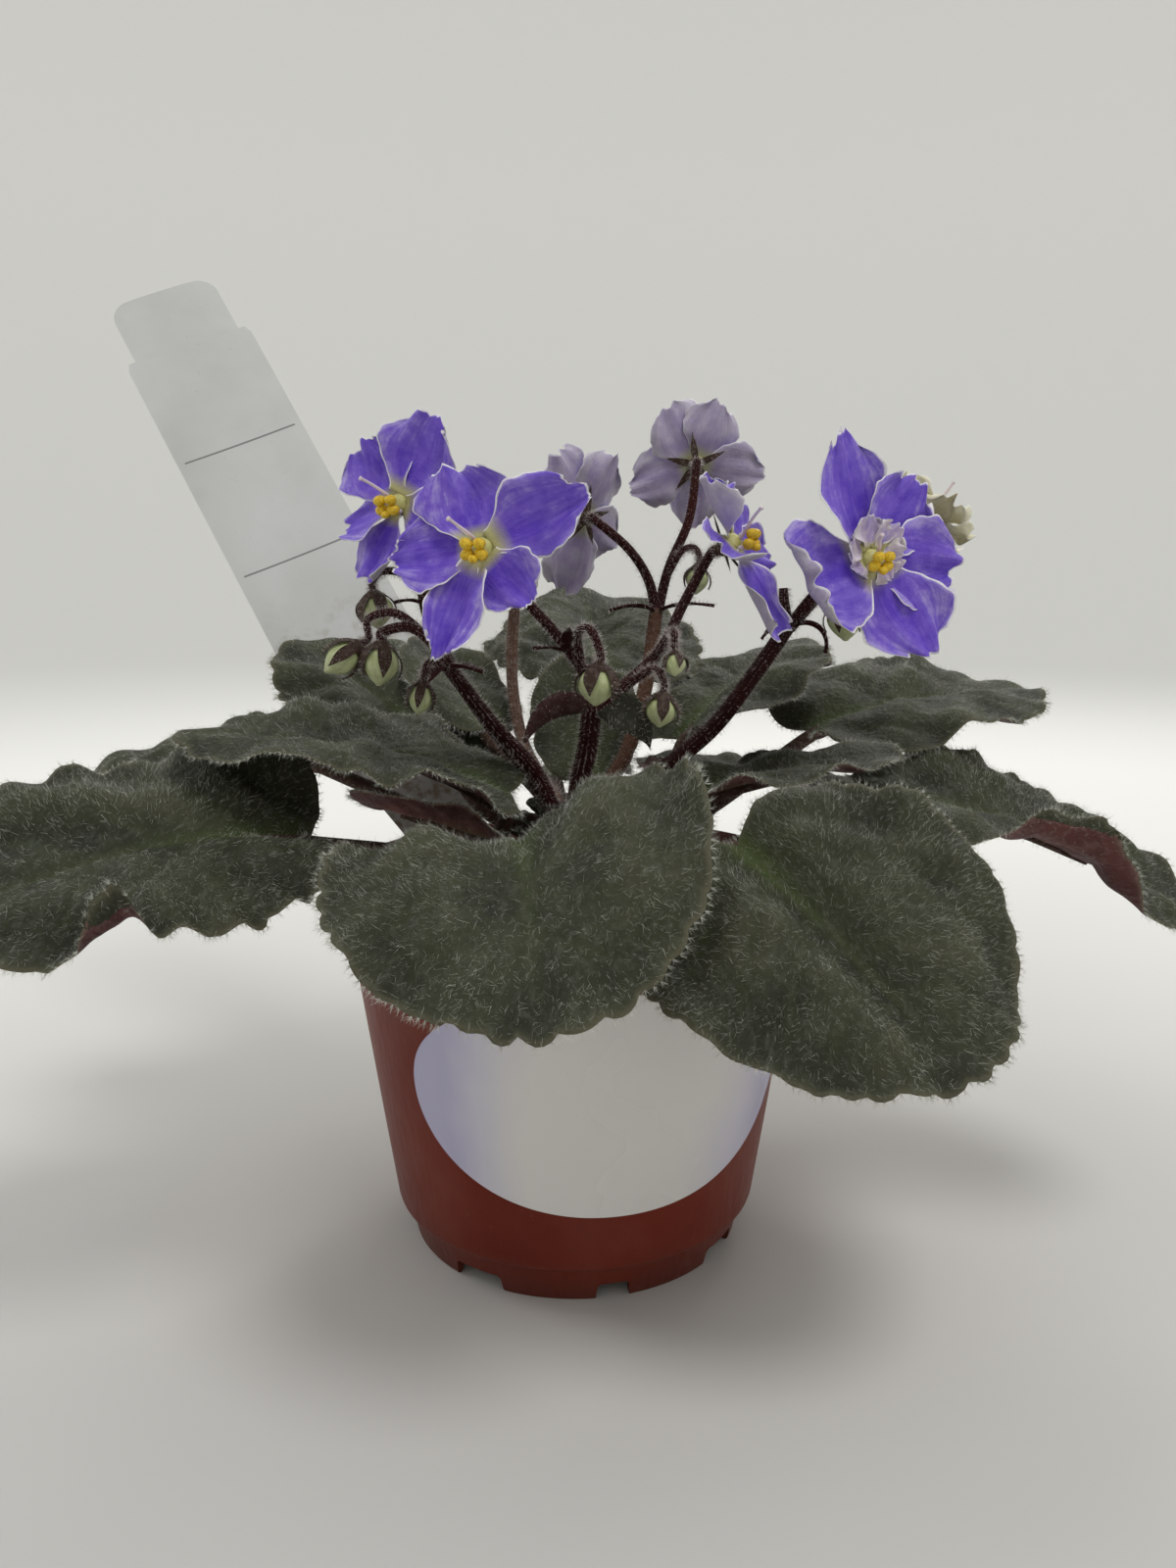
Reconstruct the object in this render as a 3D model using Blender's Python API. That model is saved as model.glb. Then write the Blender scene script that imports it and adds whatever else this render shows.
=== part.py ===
"""A potted African violet: a thin plastic nursery pot with its label, soil and plant tag, and the plant
itself as crown, leaves, flower stalks, buds and flowers.

Lengths are in millimetres in this file and become metres when a mesh is made. +Z is up, the pot stands
on Z = 0 with its axis on the Z axis, and -Y is the front. Run it with: blender --background --python part.py
"""

import math

import bmesh
import bpy
import numpy as np
from mathutils import Matrix, Vector

MM = 0.001
GAP = 0.3  # the clearance between pieces that touch

# The pot: a tapered body with a rim band on top and a notched foot ring below.
POT_HEIGHT = 87.0
POT_WALL = 1.2
FOOT_RADIUS = 39.0
FOOT_HEIGHT = 9.0
BODY_LOW_RADIUS = 43.0
BAND_LOW = 74.0
BODY_TOP_RADIUS = 52.4
BAND_RADIUS = 54.2
POT_FLOOR = 7.0
FOOT_NOTCHES = 8
NOTCH_HEIGHT = 4.0
NOTCH_WIDTH = 13.0
DRAIN_HOLES = 6
DRAIN_RADIUS = 4.0
POT_STEPS = 48

# The label: an oval of paper on the front of the body, just under the rim band.
LABEL_THICKNESS = 0.4
LABEL_MIDDLE_ANGLE = -78.0
LABEL_HALF_ANGLE = 55.0
LABEL_LOW = 23.0
LABEL_HIGH = 73.2

SOIL_TOP = 75.0
CROWN_RADIUS = 8.0
CROWN_LOW = 66.0
CROWN_TOP = 99.0

# The plant tag: a plastic stake that leans back to the left, with a narrower head.
TAG_FOOT = Vector((-20.0, 22.0, 66.0))
TAG_AXIS = Vector((-0.485, 0.34, 0.805)).normalized()
TAG_LENGTH = 211.0
TAG_WIDTH = 37.0
TAG_HEAD_WIDTH = 31.0
TAG_HEAD_LENGTH = 20.0
TAG_POINT_LENGTH = 70.0
TAG_THICKNESS = 0.8
TAG_FACE_ACROSS = Vector((0.98, 0.18, 0.0))

LEAF_THICKNESS = 1.1
LEAF_ANGLES = 26
LEAF_RINGS = 3
PETIOLE_RADIUS = 1.9

# Each leaf: where its stalk leaves the crown (height), where blade and stalk meet, the way the blade
# heads in plan, its rise at base and tip, its length and width, its roll at base and tip, and how far
# its sides bend down (degrees, negative for up). "leaves" is the way its stalk leaves the crown in plan,
# where that isn't straight towards the blade.
LEAVES = {
    "leaf_front_left": dict(crown=80.5, joint=(-55, -32, 103), heading=205, rise=(10, -34), size=(77, 63),
                            roll=(26, 18), camber=4),
    "leaf_front": dict(crown=80.5, joint=(-11, -40, 103), heading=276, rise=(10, -48), size=(64, 73),
                       roll=(-18, -10), camber=-20),
    "leaf_front_right": dict(crown=80.5, joint=(33, -41, 102), heading=310, rise=(-22, -42), size=(63, 77),
                             roll=(-26, -6), camber=8),
    "leaf_right": dict(crown=80.5, joint=(66, -8, 107), heading=350, rise=(0, -44), size=(79, 52),
                       roll=(-10, -8), camber=-6, leaves=(1, -0.45)),
    "leaf_back_right": dict(crown=80.5, joint=(34, 44, 103), heading=52, rise=(4, -34), size=(66, 62),
                            roll=(0, 0), camber=16),
    "leaf_back_left": dict(crown=80.5, joint=(-6, 52, 102), heading=104, rise=(4, -34), size=(52, 54),
                           roll=(0, 0), camber=16),
    "leaf_left": dict(crown=84.5, joint=(-61, 13, 112), heading=170, rise=(14, -30), size=(62, 48),
                      roll=(6, 4), camber=4),
    "leaf_left_under": dict(crown=84.5, joint=(-18, -21, 99), heading=200, rise=(28, 8), size=(31, 26),
                            roll=(-10, -16), camber=-8, leaves=(-0.6, -0.8)),
    "leaf_left_upper": dict(crown=89.0, joint=(-15, -15, 108), heading=188, rise=(32, -14), size=(70, 50),
                            roll=(8, 8), camber=4, leaves=(-0.9, -0.4)),
    "leaf_right_low": dict(crown=86.5, joint=(28, -8, 108), heading=5, rise=(14, 0), size=(46, 36),
                           roll=(0, 0), camber=6, leaves=(1, 0.0)),
    "leaf_right_upper": dict(crown=84.5, joint=(60, 27, 118), heading=19, rise=(20, -12), size=(65, 62),
                             roll=(-14, -8), camber=4),
    "leaf_left_top": dict(crown=93.5, joint=(-29, 6, 113), heading=146, rise=(36, 14), size=(56, 48),
                          roll=(10, 10), camber=14, leaves=(-1, 0.1)),
    "leaf_right_top": dict(crown=94.0, joint=(25, 10, 119), heading=50, rise=(32, 3), size=(54, 48),
                           roll=(12, 4), camber=16),
    "leaf_back_top": dict(crown=90.5, joint=(7, 30, 131), heading=96, rise=(24, 12), size=(58, 60),
                          roll=(-4, 4), camber=26),
    "leaf_centre_left": dict(crown=96.0, joint=(-21, 13, 119), heading=128, rise=(40, 22), size=(36, 27),
                             roll=(0, 0), camber=10, leaves=(-0.5, 0.9)),
    "leaf_young": dict(crown=95.5, joint=(3, 10, 108), heading=96, rise=(62, 48), size=(32, 27),
                       roll=(4, 0), camber=-8),
}

# Each stalk: paths of (x, y, z, radius). The first path rises from the crown and the others branch off
# it. A path that ends with a name runs on to that flower or bud.
STALKS = {
    "stalk_left": [
        [(-4.8, -2.6, 101.0, 1.7), (-9, -4, 110, 1.7), (-18, -12, 122, 1.6), (-26, -23, 135, 1.5)],
        [(-24.5, -21, 132, 1.3), (-28, -25, 139, 1.2), (-33, -27, 143.6, 1.1), "bud_left_large"],
        [(-29, -25.5, 140.4, 1.1), (-36, -26, 146.4, 0.9), (-42, -26, 145.4, 0.8), "bud_left_twin"],
        [(-26, -23, 135, 1.1), (-29.5, -25, 136.4, 0.9), "bud_left_low"],
    ],
    "stalk_left_back": [
        [(-5.2, 1.2, 101.0, 1.6), (-13, -1, 112, 1.6), (-24, -6, 128, 1.5), (-31, -13, 144, 1.4),
         (-33.0, -13, 157, 1.2), "flower_left"],
        [(-32.0, -13, 150, 1.0), (-36.5, -13.5, 154.5, 0.9), (-41, -14.8, 155, 0.8), "bud_left_upper"],
    ],
    "stalk_centre": [
        [(0.4, -5.4, 101.0, 2.2), (1.0, -12, 108, 2.2), (3.0, -20, 118, 2.2), (4.0, -24, 128, 2.1)],
        [(4.0, -24, 126, 1.5), (2.5, -25, 134, 1.3), (-4.0, -28, 143, 1.1), (-11.0, -32, 151, 1.0),
         "flower_front"],
        [(4.0, -24, 126, 1.6), (10, -25, 131, 1.4), (18, -23, 138.5, 1.2), (23, -20, 148, 1.1),
         "flower_middle"],
        [(1.6, -25.5, 136.5, 0.9), (1.0, -29, 142.5, 0.9), (3.6, -32, 143.4, 0.9), "bud_centre"],
        [(17, -23.4, 137.5, 0.9), (20.0, -27, 142.4, 0.9), (20.6, -29.6, 142.4, 0.8), "bud_round"],
        [(11, -25, 131.5, 0.9), (15.6, -28.6, 134.9, 0.9), (17.6, -30.5, 134.9, 0.8), "bud_hanging"],
        [(3.6, -24, 126, 1.2), (-3, -26, 127.5, 1.1), (-9, -28, 125, 1.5), (-13, -29, 121, 0.6)],
        [(4.4, -24, 126, 1.2), (11, -27, 126, 1.1), (16, -29, 122, 1.5), (18, -30, 115, 0.6)],
    ],
    "stalk_right": [
        [(5.0, -1.6, 101.0, 1.9), (14, -3, 106, 1.9), (30, -6, 119, 1.9), (40, -10, 133, 1.8),
         (47.5, -13, 145, 1.7)],
        [(46.8, -12.8, 143, 1.4), (52, -14, 150, 1.3), "flower_right"],
        [(46.8, -12.8, 143, 1.3), (58, -9, 154.4, 1.1), (67, -5, 159.4, 0.9), "flower_faded"],
        [(46.5, -12.6, 143, 1.3), (45.6, -12.2, 148, 1.2), (45.4, -12, 151.5, 0.9)],
        [(49, -13, 146, 0.9), (55, -9, 151, 0.9), (59.4, -6, 153, 0.8), "bud_right"],
        [(46, -12.5, 142, 1.0), (51, -14.5, 144, 0.8), (53.5, -16, 141, 0.9), (51, -16.5, 137.5, 0.5)],
    ],
    "stalk_back": [
        [(4.4, 3.2, 101.0, 1.8), (12, 9, 112, 1.8), (17, 17, 127, 1.8), (20, 23, 146, 1.7)],
        [(20, 23, 144, 1.3), (18, 23, 153, 1.2), (13, 20, 160.5, 1.1), "flower_back_left"],
        [(20, 23, 144, 1.3), (23, 25, 156, 1.2), (28, 26, 168, 1.1), "flower_back_right"],
        [(22.6, 24.6, 154, 0.8), (26, 24, 160, 0.8), (29, 24, 161, 0.8), "bud_back"],
        [(20, 23, 146, 1.1), (13, 20, 148, 1.4), (8, 18, 147.5, 0.5)],
        [(20, 23, 146, 1.1), (27, 20, 148, 1.4), (34, 18, 149.5, 0.5)],
    ],
    "stalk_rear": [
        [(-3.6, 3.8, 101.0, 1.5), (-8.6, 9.6, 107, 1.5), (-13, 15, 115, 1.5), (-15.4, 18, 128, 1.4),
         (-15, 16, 142, 1.4), (-13, 10, 156, 1.1)],
    ],
}

# Each flower: middle of the face, the way it faces, its five lobes (angle from the right as seen from
# the front, radius), and how far the lobes cup forward.
FLOWERS = {
    "flower_left": dict(at=(-36, -19, 168.6), faces=(-0.42, -0.87, 0.16), cup=0.18,
                        lobes=((121, 15), (62, 19), (-18, 14), (-92, 16), (-160, 13))),
    "flower_front": dict(at=(-17, -41, 159), faces=(-0.26, -0.93, 0.22), cup=0.16,
                         lobes=((102, 17), (30, 22), (-42, 13), (-114, 22), (176, 17))),
    "flower_back_left": dict(at=(1.8, 22.4, 168.4), faces=(-0.62, 0.74, 0.24), cup=0.10,
                             lobes=((120, 17), (55, 17), (-15, 15), (-85, 19), (-155, 15))),
    "flower_back_right": dict(at=(30, 32.8, 181.6), faces=(0.06, 0.98, 0.18), cup=0.14,
                              lobes=((112, 15), (58, 15), (-12, 17), (-90, 16), (-168, 17))),
    "flower_middle": dict(at=(33.0, -19, 160.6), faces=(0.80, -0.40, 0.42), cup=0.22,
                          lobes=((112, 15), (52, 15), (-18, 15), (-90, 22), (-165, 15))),
    "flower_right": dict(at=(61.4, -22, 157.4), faces=(0.34, -0.93, 0.14), cup=0.20,
                         lobes=((108, 27), (50, 19), (-6, 19), (-64, 23), (-176, 17))),
}

# How far the cup of sepals reaches behind the middle of a flower.
CALYX_DEPTH = 3.2

# The faded flower behind the right one, cream and half closed.
FADED_AT = (79, -1, 165)
FADED_FACES = (0.62, 0.25, 0.74)
FADED_RADIUS = 12.0

# Each bud: middle, the way its tip points, width and length.
BUDS = {
    "bud_left_upper": dict(at=(-42.4, -15.2, 147.2), tip=(0.1, 0.0, -1), size=(7.4, 7.4)),
    "bud_left_large": dict(at=(-39.6, -27, 136.6), tip=(-0.1, -0.05, -1), size=(7.4, 8.6)),
    "bud_left_twin": dict(at=(-47.2, -26, 137.6), tip=(-0.8, 0.0, -0.6), size=(6.4, 9.0)),
    "bud_left_low": dict(at=(-31.6, -26.0, 129.4), tip=(-0.2, 0.0, -1), size=(5.0, 6.8)),
    "bud_centre": dict(at=(5.0, -33.2, 132.8), tip=(-0.1, -0.1, -1), size=(8.0, 8.0)),
    "bud_round": dict(at=(20.6, -31.6, 136.6), tip=(0.0, -0.4, -0.9), size=(4.4, 4.6)),
    "bud_hanging": dict(at=(18.0, -31.2, 127.4), tip=(-0.1, 0.0, -1), size=(6.6, 6.6)),
    "bud_back": dict(at=(30, 24, 153.6), tip=(-0.1, 0, -1), size=(5.6, 6.8)),
    "bud_right": dict(at=(60.6, -4.8, 145.2), tip=(0.05, 0, -1), size=(8.2, 9.4)),
}

COLOURS = {
    "terracotta plastic": ((0.42, 0.085, 0.045), 0.45),
    "label paper": ((0.80, 0.80, 0.80), 0.4),
    "soil": ((0.05, 0.03, 0.02), 0.95),
    "tag plastic": ((0.72, 0.73, 0.71), 0.45),
    "crown": ((0.09, 0.07, 0.03), 0.7),
    "leaf": ((0.045, 0.065, 0.035), 0.7),
    "stalk": ((0.13, 0.02, 0.02), 0.6),
    "violet petal": ((0.16, 0.10, 0.60), 0.55),
    "faded petal": ((0.80, 0.78, 0.62), 0.6),
    "calyx": ((0.10, 0.03, 0.025), 0.65),
    "anther": ((0.75, 0.48, 0.02), 0.5),
    "bud": ((0.45, 0.50, 0.22), 0.6),
}


def material(name):
    """The named Principled material, made once."""
    made = bpy.data.materials.get(name)
    if made:
        return made
    made = bpy.data.materials.new(name)
    made.use_nodes = True
    colour, roughness = COLOURS[name]
    shader = made.node_tree.nodes["Principled BSDF"]
    shader.inputs["Base Color"].default_value = (*colour, 1.0)
    shader.inputs["Roughness"].default_value = roughness
    return made


def add_mesh(name, points, faces, finish):
    """A new object from points in millimetres, with its faces turned outwards."""
    mesh = bpy.data.meshes.new(name)
    mesh.from_pydata([tuple(float(c) * MM for c in p) for p in points], [], faces)
    shaped = bmesh.new()
    shaped.from_mesh(mesh)
    bmesh.ops.recalc_face_normals(shaped, faces=shaped.faces)
    shaped.to_mesh(mesh)
    shaped.free()
    mesh.shade_smooth()
    mesh.set_sharp_from_angle(angle=math.radians(40))
    mesh.materials.append(material(finish))
    made = bpy.data.objects.new(name, mesh)
    bpy.context.scene.collection.objects.link(made)
    return made


def turned(name, profile, steps, finish):
    """A solid turned about Z from a closed (radius, height) outline whose ends lie on the axis or meet."""
    points, rings = [], []
    for radius, height in profile:
        count = 1 if radius < 1e-6 else steps
        rings.append(list(range(len(points), len(points) + count)))
        for k in range(count):
            turn = 2 * math.pi * k / steps
            points.append((radius * math.cos(turn), radius * math.sin(turn), height))
    faces = []
    closed = len(rings[0]) > 1
    pairs = list(zip(rings, rings[1:] + ([rings[0]] if closed else [])))
    for low, high in pairs if closed else pairs[: len(rings) - 1]:
        for k in range(steps):
            after = k + 1
            corners = [low[k % len(low)], low[after % len(low)], high[after % len(high)], high[k % len(high)]]
            corners = list(dict.fromkeys(corners))
            if len(corners) > 2:
                faces.append(corners)
    return add_mesh(name, points, faces, finish)


def rings_to_tube(name, rings, finish):
    """A closed tube through rings of points that all have the same count."""
    count = len(rings[0])
    points = [p for ring in rings for p in ring]
    faces = [list(range(count)), list(range(len(points) - count, len(points)))]
    for i in range(len(rings) - 1):
        for k in range(count):
            a, b = i * count + k, i * count + (k + 1) % count
            faces.append([a, b, b + count, a + count])
    return add_mesh(name, points, faces, finish)


def smooth_path(stops, per_span):
    """Points on a Catmull-Rom curve through the stops. Each stop is a row of numbers."""
    stops = np.array(stops, float)
    ends = np.vstack([2 * stops[0] - stops[1], stops, 2 * stops[-1] - stops[-2]])
    made = []
    for i in range(1, len(ends) - 2):
        a, b, c, d = ends[i - 1 : i + 3]
        for t in np.arange(per_span) / per_span:
            made.append(0.5 * (2 * b + (c - a) * t + (2 * a - 5 * b + 4 * c - d) * t**2
                               + (3 * b - a - 3 * c + d) * t**3))
    return np.array(made + [stops[-1]])


def tube(name, stops, finish, sides=7, per_span=3):
    """A round stem through stops of (x, y, z, radius)."""
    path = smooth_path(stops, per_span) if len(stops) > 2 else np.array(stops, float)
    rings, side = [], None
    for i, stop in enumerate(path):
        ahead = Vector(path[min(i + 1, len(path) - 1)][:3] - path[max(i - 1, 0)][:3]).normalized()
        if i == 0:
            ahead = (Vector(stops[1][:3]) - Vector(stops[0][:3])).normalized()
        if i == len(path) - 1:
            ahead = (Vector(stops[-1][:3]) - Vector(stops[-2][:3])).normalized()
        if side is None:
            side = ahead.orthogonal().normalized()
        side = (side - ahead * side.dot(ahead)).normalized()
        across = ahead.cross(side)
        middle, radius = Vector(stop[:3]), stop[3]
        rings.append([middle + (side * math.cos(a) + across * math.sin(a)) * radius
                      for a in np.arange(sides) * 2 * math.pi / sides])
    return rings_to_tube(name, rings, finish)


def apply_modifiers(piece):
    """Bakes the modifiers of an object into its mesh."""
    bpy.context.view_layer.update()
    graph = bpy.context.evaluated_depsgraph_get()
    baked = bpy.data.meshes.new_from_object(piece.evaluated_get(graph))
    piece.modifiers.clear()
    piece.data = baked


def combine(piece, others, operation):
    """Joins other objects to a piece, or cuts them from it, and removes them."""
    for other in others:
        step = piece.modifiers.new(operation.lower(), "BOOLEAN")
        step.operation = operation
        step.object = other
    apply_modifiers(piece)
    for other in others:
        bpy.data.objects.remove(other)
    return piece


def facing(direction):
    """A rotation that turns +Z to a direction and keeps +Y as near up as it can."""
    ahead = Vector(direction).normalized()
    side = Vector((0, 0, 1)).cross(ahead).normalized()
    up = ahead.cross(side)
    return Matrix((side, up, ahead)).transposed()


def place(piece, at, turn):
    """Moves a mesh built around the origin to its place, in millimetres."""
    piece.data.transform(Matrix.Translation(Vector(at) * MM) @ turn.to_4x4())
    return piece


# ---- pot, label, soil, crown and tag ----


def body_radius(height):
    """The outer radius of the pot's body at a height."""
    share = (height - FOOT_HEIGHT) / (BAND_LOW - FOOT_HEIGHT)
    return BODY_LOW_RADIUS + share * (BODY_TOP_RADIUS - BODY_LOW_RADIUS)


def make_pot():
    inner = POT_HEIGHT - 1.0
    outline = [
        (0.0, POT_FLOOR), (FOOT_RADIUS - 2.2, POT_FLOOR), (FOOT_RADIUS - 1.8, 0.0), (FOOT_RADIUS, 0.0),
        (FOOT_RADIUS + 1.9, FOOT_HEIGHT - 1.0), (BODY_LOW_RADIUS, FOOT_HEIGHT + 0.6),
        (BODY_TOP_RADIUS, BAND_LOW), (BAND_RADIUS - 0.4, BAND_LOW), (BAND_RADIUS, BAND_LOW + 0.6),
        (BAND_RADIUS + 0.5, inner), (BAND_RADIUS + 0.1, POT_HEIGHT), (BAND_RADIUS - 1.0, POT_HEIGHT),
        (BODY_TOP_RADIUS - POT_WALL, BAND_LOW), (BODY_LOW_RADIUS - POT_WALL, FOOT_HEIGHT + 1.2),
        (BODY_LOW_RADIUS - 3.4, POT_FLOOR + POT_WALL), (0.0, POT_FLOOR + POT_WALL),
    ]
    pot = turned("pot", outline, POT_STEPS, "terracotta plastic")
    cutters = []
    for k in range(FOOT_NOTCHES):
        turn = Matrix.Rotation(2 * math.pi * (k + 0.28) / FOOT_NOTCHES, 3, "Z")
        notch = box("notch", (14.0, NOTCH_WIDTH * (1.0 if k % 2 else 0.62), 2 * NOTCH_HEIGHT))
        cutters.append(place(notch, turn @ Vector((FOOT_RADIUS, 0, 0)), turn))
    for k in range(DRAIN_HOLES):
        turn = 2 * math.pi * (k + 0.37) / DRAIN_HOLES
        outline = [(0, -6), (DRAIN_RADIUS, -6), (DRAIN_RADIUS, 6), (0, 6)]
        drain = turned("drain", outline, 10, "terracotta plastic")
        at = (24 * math.cos(turn), 24 * math.sin(turn), POT_FLOOR)
        cutters.append(place(drain, at, Matrix.Identity(3)))
    return combine(pot, cutters, "DIFFERENCE")


def box(name, size):
    """A box about the origin, in millimetres."""
    half = [s / 2 for s in size]
    points = [(x, y, z) for x in (-half[0], half[0]) for y in (-half[1], half[1]) for z in (-half[2], half[2])]
    faces = [(0, 1, 3, 2), (4, 6, 7, 5), (0, 4, 5, 1), (2, 3, 7, 6), (0, 2, 6, 4), (1, 5, 7, 3)]
    return add_mesh(name, points, faces, "terracotta plastic")


def make_label():
    """The paper oval, wrapped on the body with its top edge flattened by the rim band."""
    middle, half = (LABEL_LOW + LABEL_HIGH) / 2, (LABEL_HIGH - LABEL_LOW) / 2
    columns, rows = 20, 4
    inner, outer = [], []
    for i in range(columns + 1):
        across = -math.cos(math.pi * i / columns)
        rise = half * max(1 - abs(across) ** 2.2, 0.0) ** 0.5 + 0.4
        turn = math.radians(LABEL_MIDDLE_ANGLE + across * LABEL_HALF_ANGLE)
        for j in range(rows + 1):
            height = middle + rise * (2 * j / rows - 1)
            radius = body_radius(height) + GAP
            inner.append((radius * math.cos(turn), radius * math.sin(turn), height))
            radius += LABEL_THICKNESS
            outer.append((radius * math.cos(turn), radius * math.sin(turn), height))
    return shell_of_grids("pot_label", inner, outer, columns + 1, rows + 1, "label paper")


def shell_of_grids(name, low, high, columns, rows, finish):
    """A closed solid between two grids of points that have the same columns and rows."""
    count = columns * rows
    faces = []
    for i in range(columns - 1):
        for j in range(rows - 1):
            a = i * rows + j
            quad = [a, a + rows, a + rows + 1, a + 1]
            faces += [quad, [q + count for q in quad]]
    border = [i * rows for i in range(columns)]
    border += [(columns - 1) * rows + j for j in range(1, rows)]
    border += [i * rows + rows - 1 for i in range(columns - 2, -1, -1)]
    border += list(range(rows - 2, 0, -1))
    for a, b in zip(border, border[1:] + border[:1]):
        faces.append([a, b, b + count, a + count])
    return add_mesh(name, list(low) + list(high), faces, finish)


def make_soil():
    low = POT_FLOOR + POT_WALL + GAP
    inside = POT_WALL + GAP
    hole = CROWN_RADIUS + 1 + GAP
    outline = [
        (0.0, low), (BODY_LOW_RADIUS - 4.4, low), (BODY_LOW_RADIUS - inside - 0.4, FOOT_HEIGHT + 3.0),
        (body_radius(SOIL_TOP - 3) - inside - 0.4, SOIL_TOP - 3.0), (40.0, SOIL_TOP), (24.0, SOIL_TOP + 1.6),
        (hole, SOIL_TOP + 2.0), (hole, CROWN_LOW - GAP), (0.0, CROWN_LOW - GAP),
    ]
    soil = turned("soil", outline, POT_STEPS, "soil")
    slot = box("slot", (TAG_WIDTH + 3, TAG_THICKNESS + 2 * GAP + 0.6, 60.0))
    return combine(soil, [place(slot, TAG_FOOT, tag_turn())], "DIFFERENCE")


def make_crown():
    """The short woody stem that every leaf and flower stalk grows from."""
    outline = [
        (0.0, CROWN_LOW), (CROWN_RADIUS + 1, CROWN_LOW), (CROWN_RADIUS + 1, SOIL_TOP + 1.2),
        (CROWN_RADIUS, SOIL_TOP + 2.4), (CROWN_RADIUS, CROWN_TOP - 2.0), (CROWN_RADIUS - 1.4, CROWN_TOP),
        (0.0, CROWN_TOP + 0.8),
    ]
    return turned("crown", outline, 16, "crown")


def tag_turn():
    """The rotation whose columns are the tag's width, thickness and length."""
    across = TAG_FACE_ACROSS - TAG_AXIS * TAG_FACE_ACROSS.dot(TAG_AXIS)
    across.normalize()
    return Matrix((across, TAG_AXIS.cross(across), TAG_AXIS)).transposed()


def make_tag():
    """A flat stake: pointed foot, straight body and a narrower head with round corners."""
    wide, head = TAG_WIDTH / 2, TAG_HEAD_WIDTH / 2
    shoulder, corner = TAG_LENGTH - TAG_HEAD_LENGTH, 6.0
    side = [(4.0, 0.0), (wide, TAG_POINT_LENGTH), (wide, shoulder - 1.0), (wide - 0.8, shoulder)]
    side.append((head, shoulder + 0.6))
    for step in range(5):
        turn = math.pi / 2 * step / 4
        side.append((head - corner + corner * math.cos(turn), TAG_LENGTH - corner + corner * math.sin(turn)))
    outline = side + [(-x, z) for x, z in reversed(side)]
    half, count = TAG_THICKNESS / 2, len(outline)
    points = [(x, -half, z) for x, z in outline] + [(x, half, z) for x, z in outline]
    faces = [list(range(count)), list(range(count, 2 * count))]
    faces += [[k, (k + 1) % count, (k + 1) % count + count, k + count] for k in range(count)]
    return place(add_mesh("plant_tag", points, faces, "tag plastic"), TAG_FOOT, tag_turn())


# ---- leaves ----


def midrib(leaf, along):
    """The midrib point at a distance from the joint, and the blade's own axes there."""
    length = leaf["size"][0]
    heading = math.radians(leaf["heading"])
    flat = Vector((math.cos(heading), math.sin(heading), 0))
    rise_base, rise_tip = (math.radians(r) for r in leaf["rise"])
    steps, step = 12, along / 12
    point = Vector(leaf["joint"])
    for k in range(steps):
        share = min(max((k + 0.5) * step / length, 0), 1)
        rise = rise_base + (rise_tip - rise_base) * share
        point = point + (flat * math.cos(rise) + Vector((0, 0, math.sin(rise)))) * step
    share = min(max(along / length, 0), 1)
    rise = rise_base + (rise_tip - rise_base) * share
    ahead = flat * math.cos(rise) + Vector((0, 0, math.sin(rise)))
    left = Vector((-math.sin(heading), math.cos(heading), 0))
    roll = math.radians(leaf["roll"][0] + (leaf["roll"][1] - leaf["roll"][0]) * share)
    left = Matrix.Rotation(-roll, 3, ahead) @ left
    return point, ahead, left, ahead.cross(left)


def blade_point(leaf, along, across):
    """A point of the blade's upper surface. Across is the distance left of the midrib."""
    point, _, left, up = midrib(leaf, along)
    bend = math.radians(leaf["camber"]) / (leaf["size"][1] / 2)
    if abs(bend) < 1e-6:
        return point + left * across
    return point + left * (math.sin(bend * across) / bend) - up * ((1 - math.cos(bend * across)) / bend)


def leaf_outline(leaf, turn):
    """The blade's radius from its middle at an angle from the tip: an oval with a notch at the stalk."""
    length, width = leaf["size"]
    long, wide = length * 0.58, width / 2
    radius = long * wide / math.hypot(wide * math.cos(turn), long * math.sin(turn))
    from_stalk = abs(math.pi - turn % (2 * math.pi))
    notch = 0.24 * math.exp(-((from_stalk / 0.30) ** 2))
    point = 0.03 * math.exp(-((min(turn, 2 * math.pi - turn) / 0.3) ** 2))
    return radius * (1 - notch + point)


def make_leaf(name, leaf):
    """One leaf: the blade, thickened downwards, on its stalk, which runs on under it as the midrib."""
    length = leaf["size"][0]
    middle = length * 0.42
    turns = [2 * math.pi * k / LEAF_ANGLES for k in range(LEAF_ANGLES)]
    points, faces = [blade_point(leaf, middle, 0.0)], []
    for ring in range(1, LEAF_RINGS + 1):
        for turn in turns:
            reach = leaf_outline(leaf, turn) * ring / LEAF_RINGS
            points.append(blade_point(leaf, middle + reach * math.cos(turn), reach * math.sin(turn)))
    for k in range(LEAF_ANGLES):
        after = (k + 1) % LEAF_ANGLES
        faces.append([0, 1 + k, 1 + after])
        for ring in range(LEAF_RINGS - 1):
            base = 1 + ring * LEAF_ANGLES
            faces.append([base + k, base + LEAF_ANGLES + k, base + LEAF_ANGLES + after, base + after])
    blade = add_mesh(name, points, faces, "leaf")
    if blade.data.polygons[0].normal.dot(midrib(leaf, middle)[3]) < 0:
        blade.data.flip_normals()
    thick = blade.modifiers.new("thickness", "SOLIDIFY")
    thick.thickness = LEAF_THICKNESS * MM
    thick.offset = -1.0
    apply_modifiers(blade)
    return combine(blade, [make_petiole(leaf)], "UNION")


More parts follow.
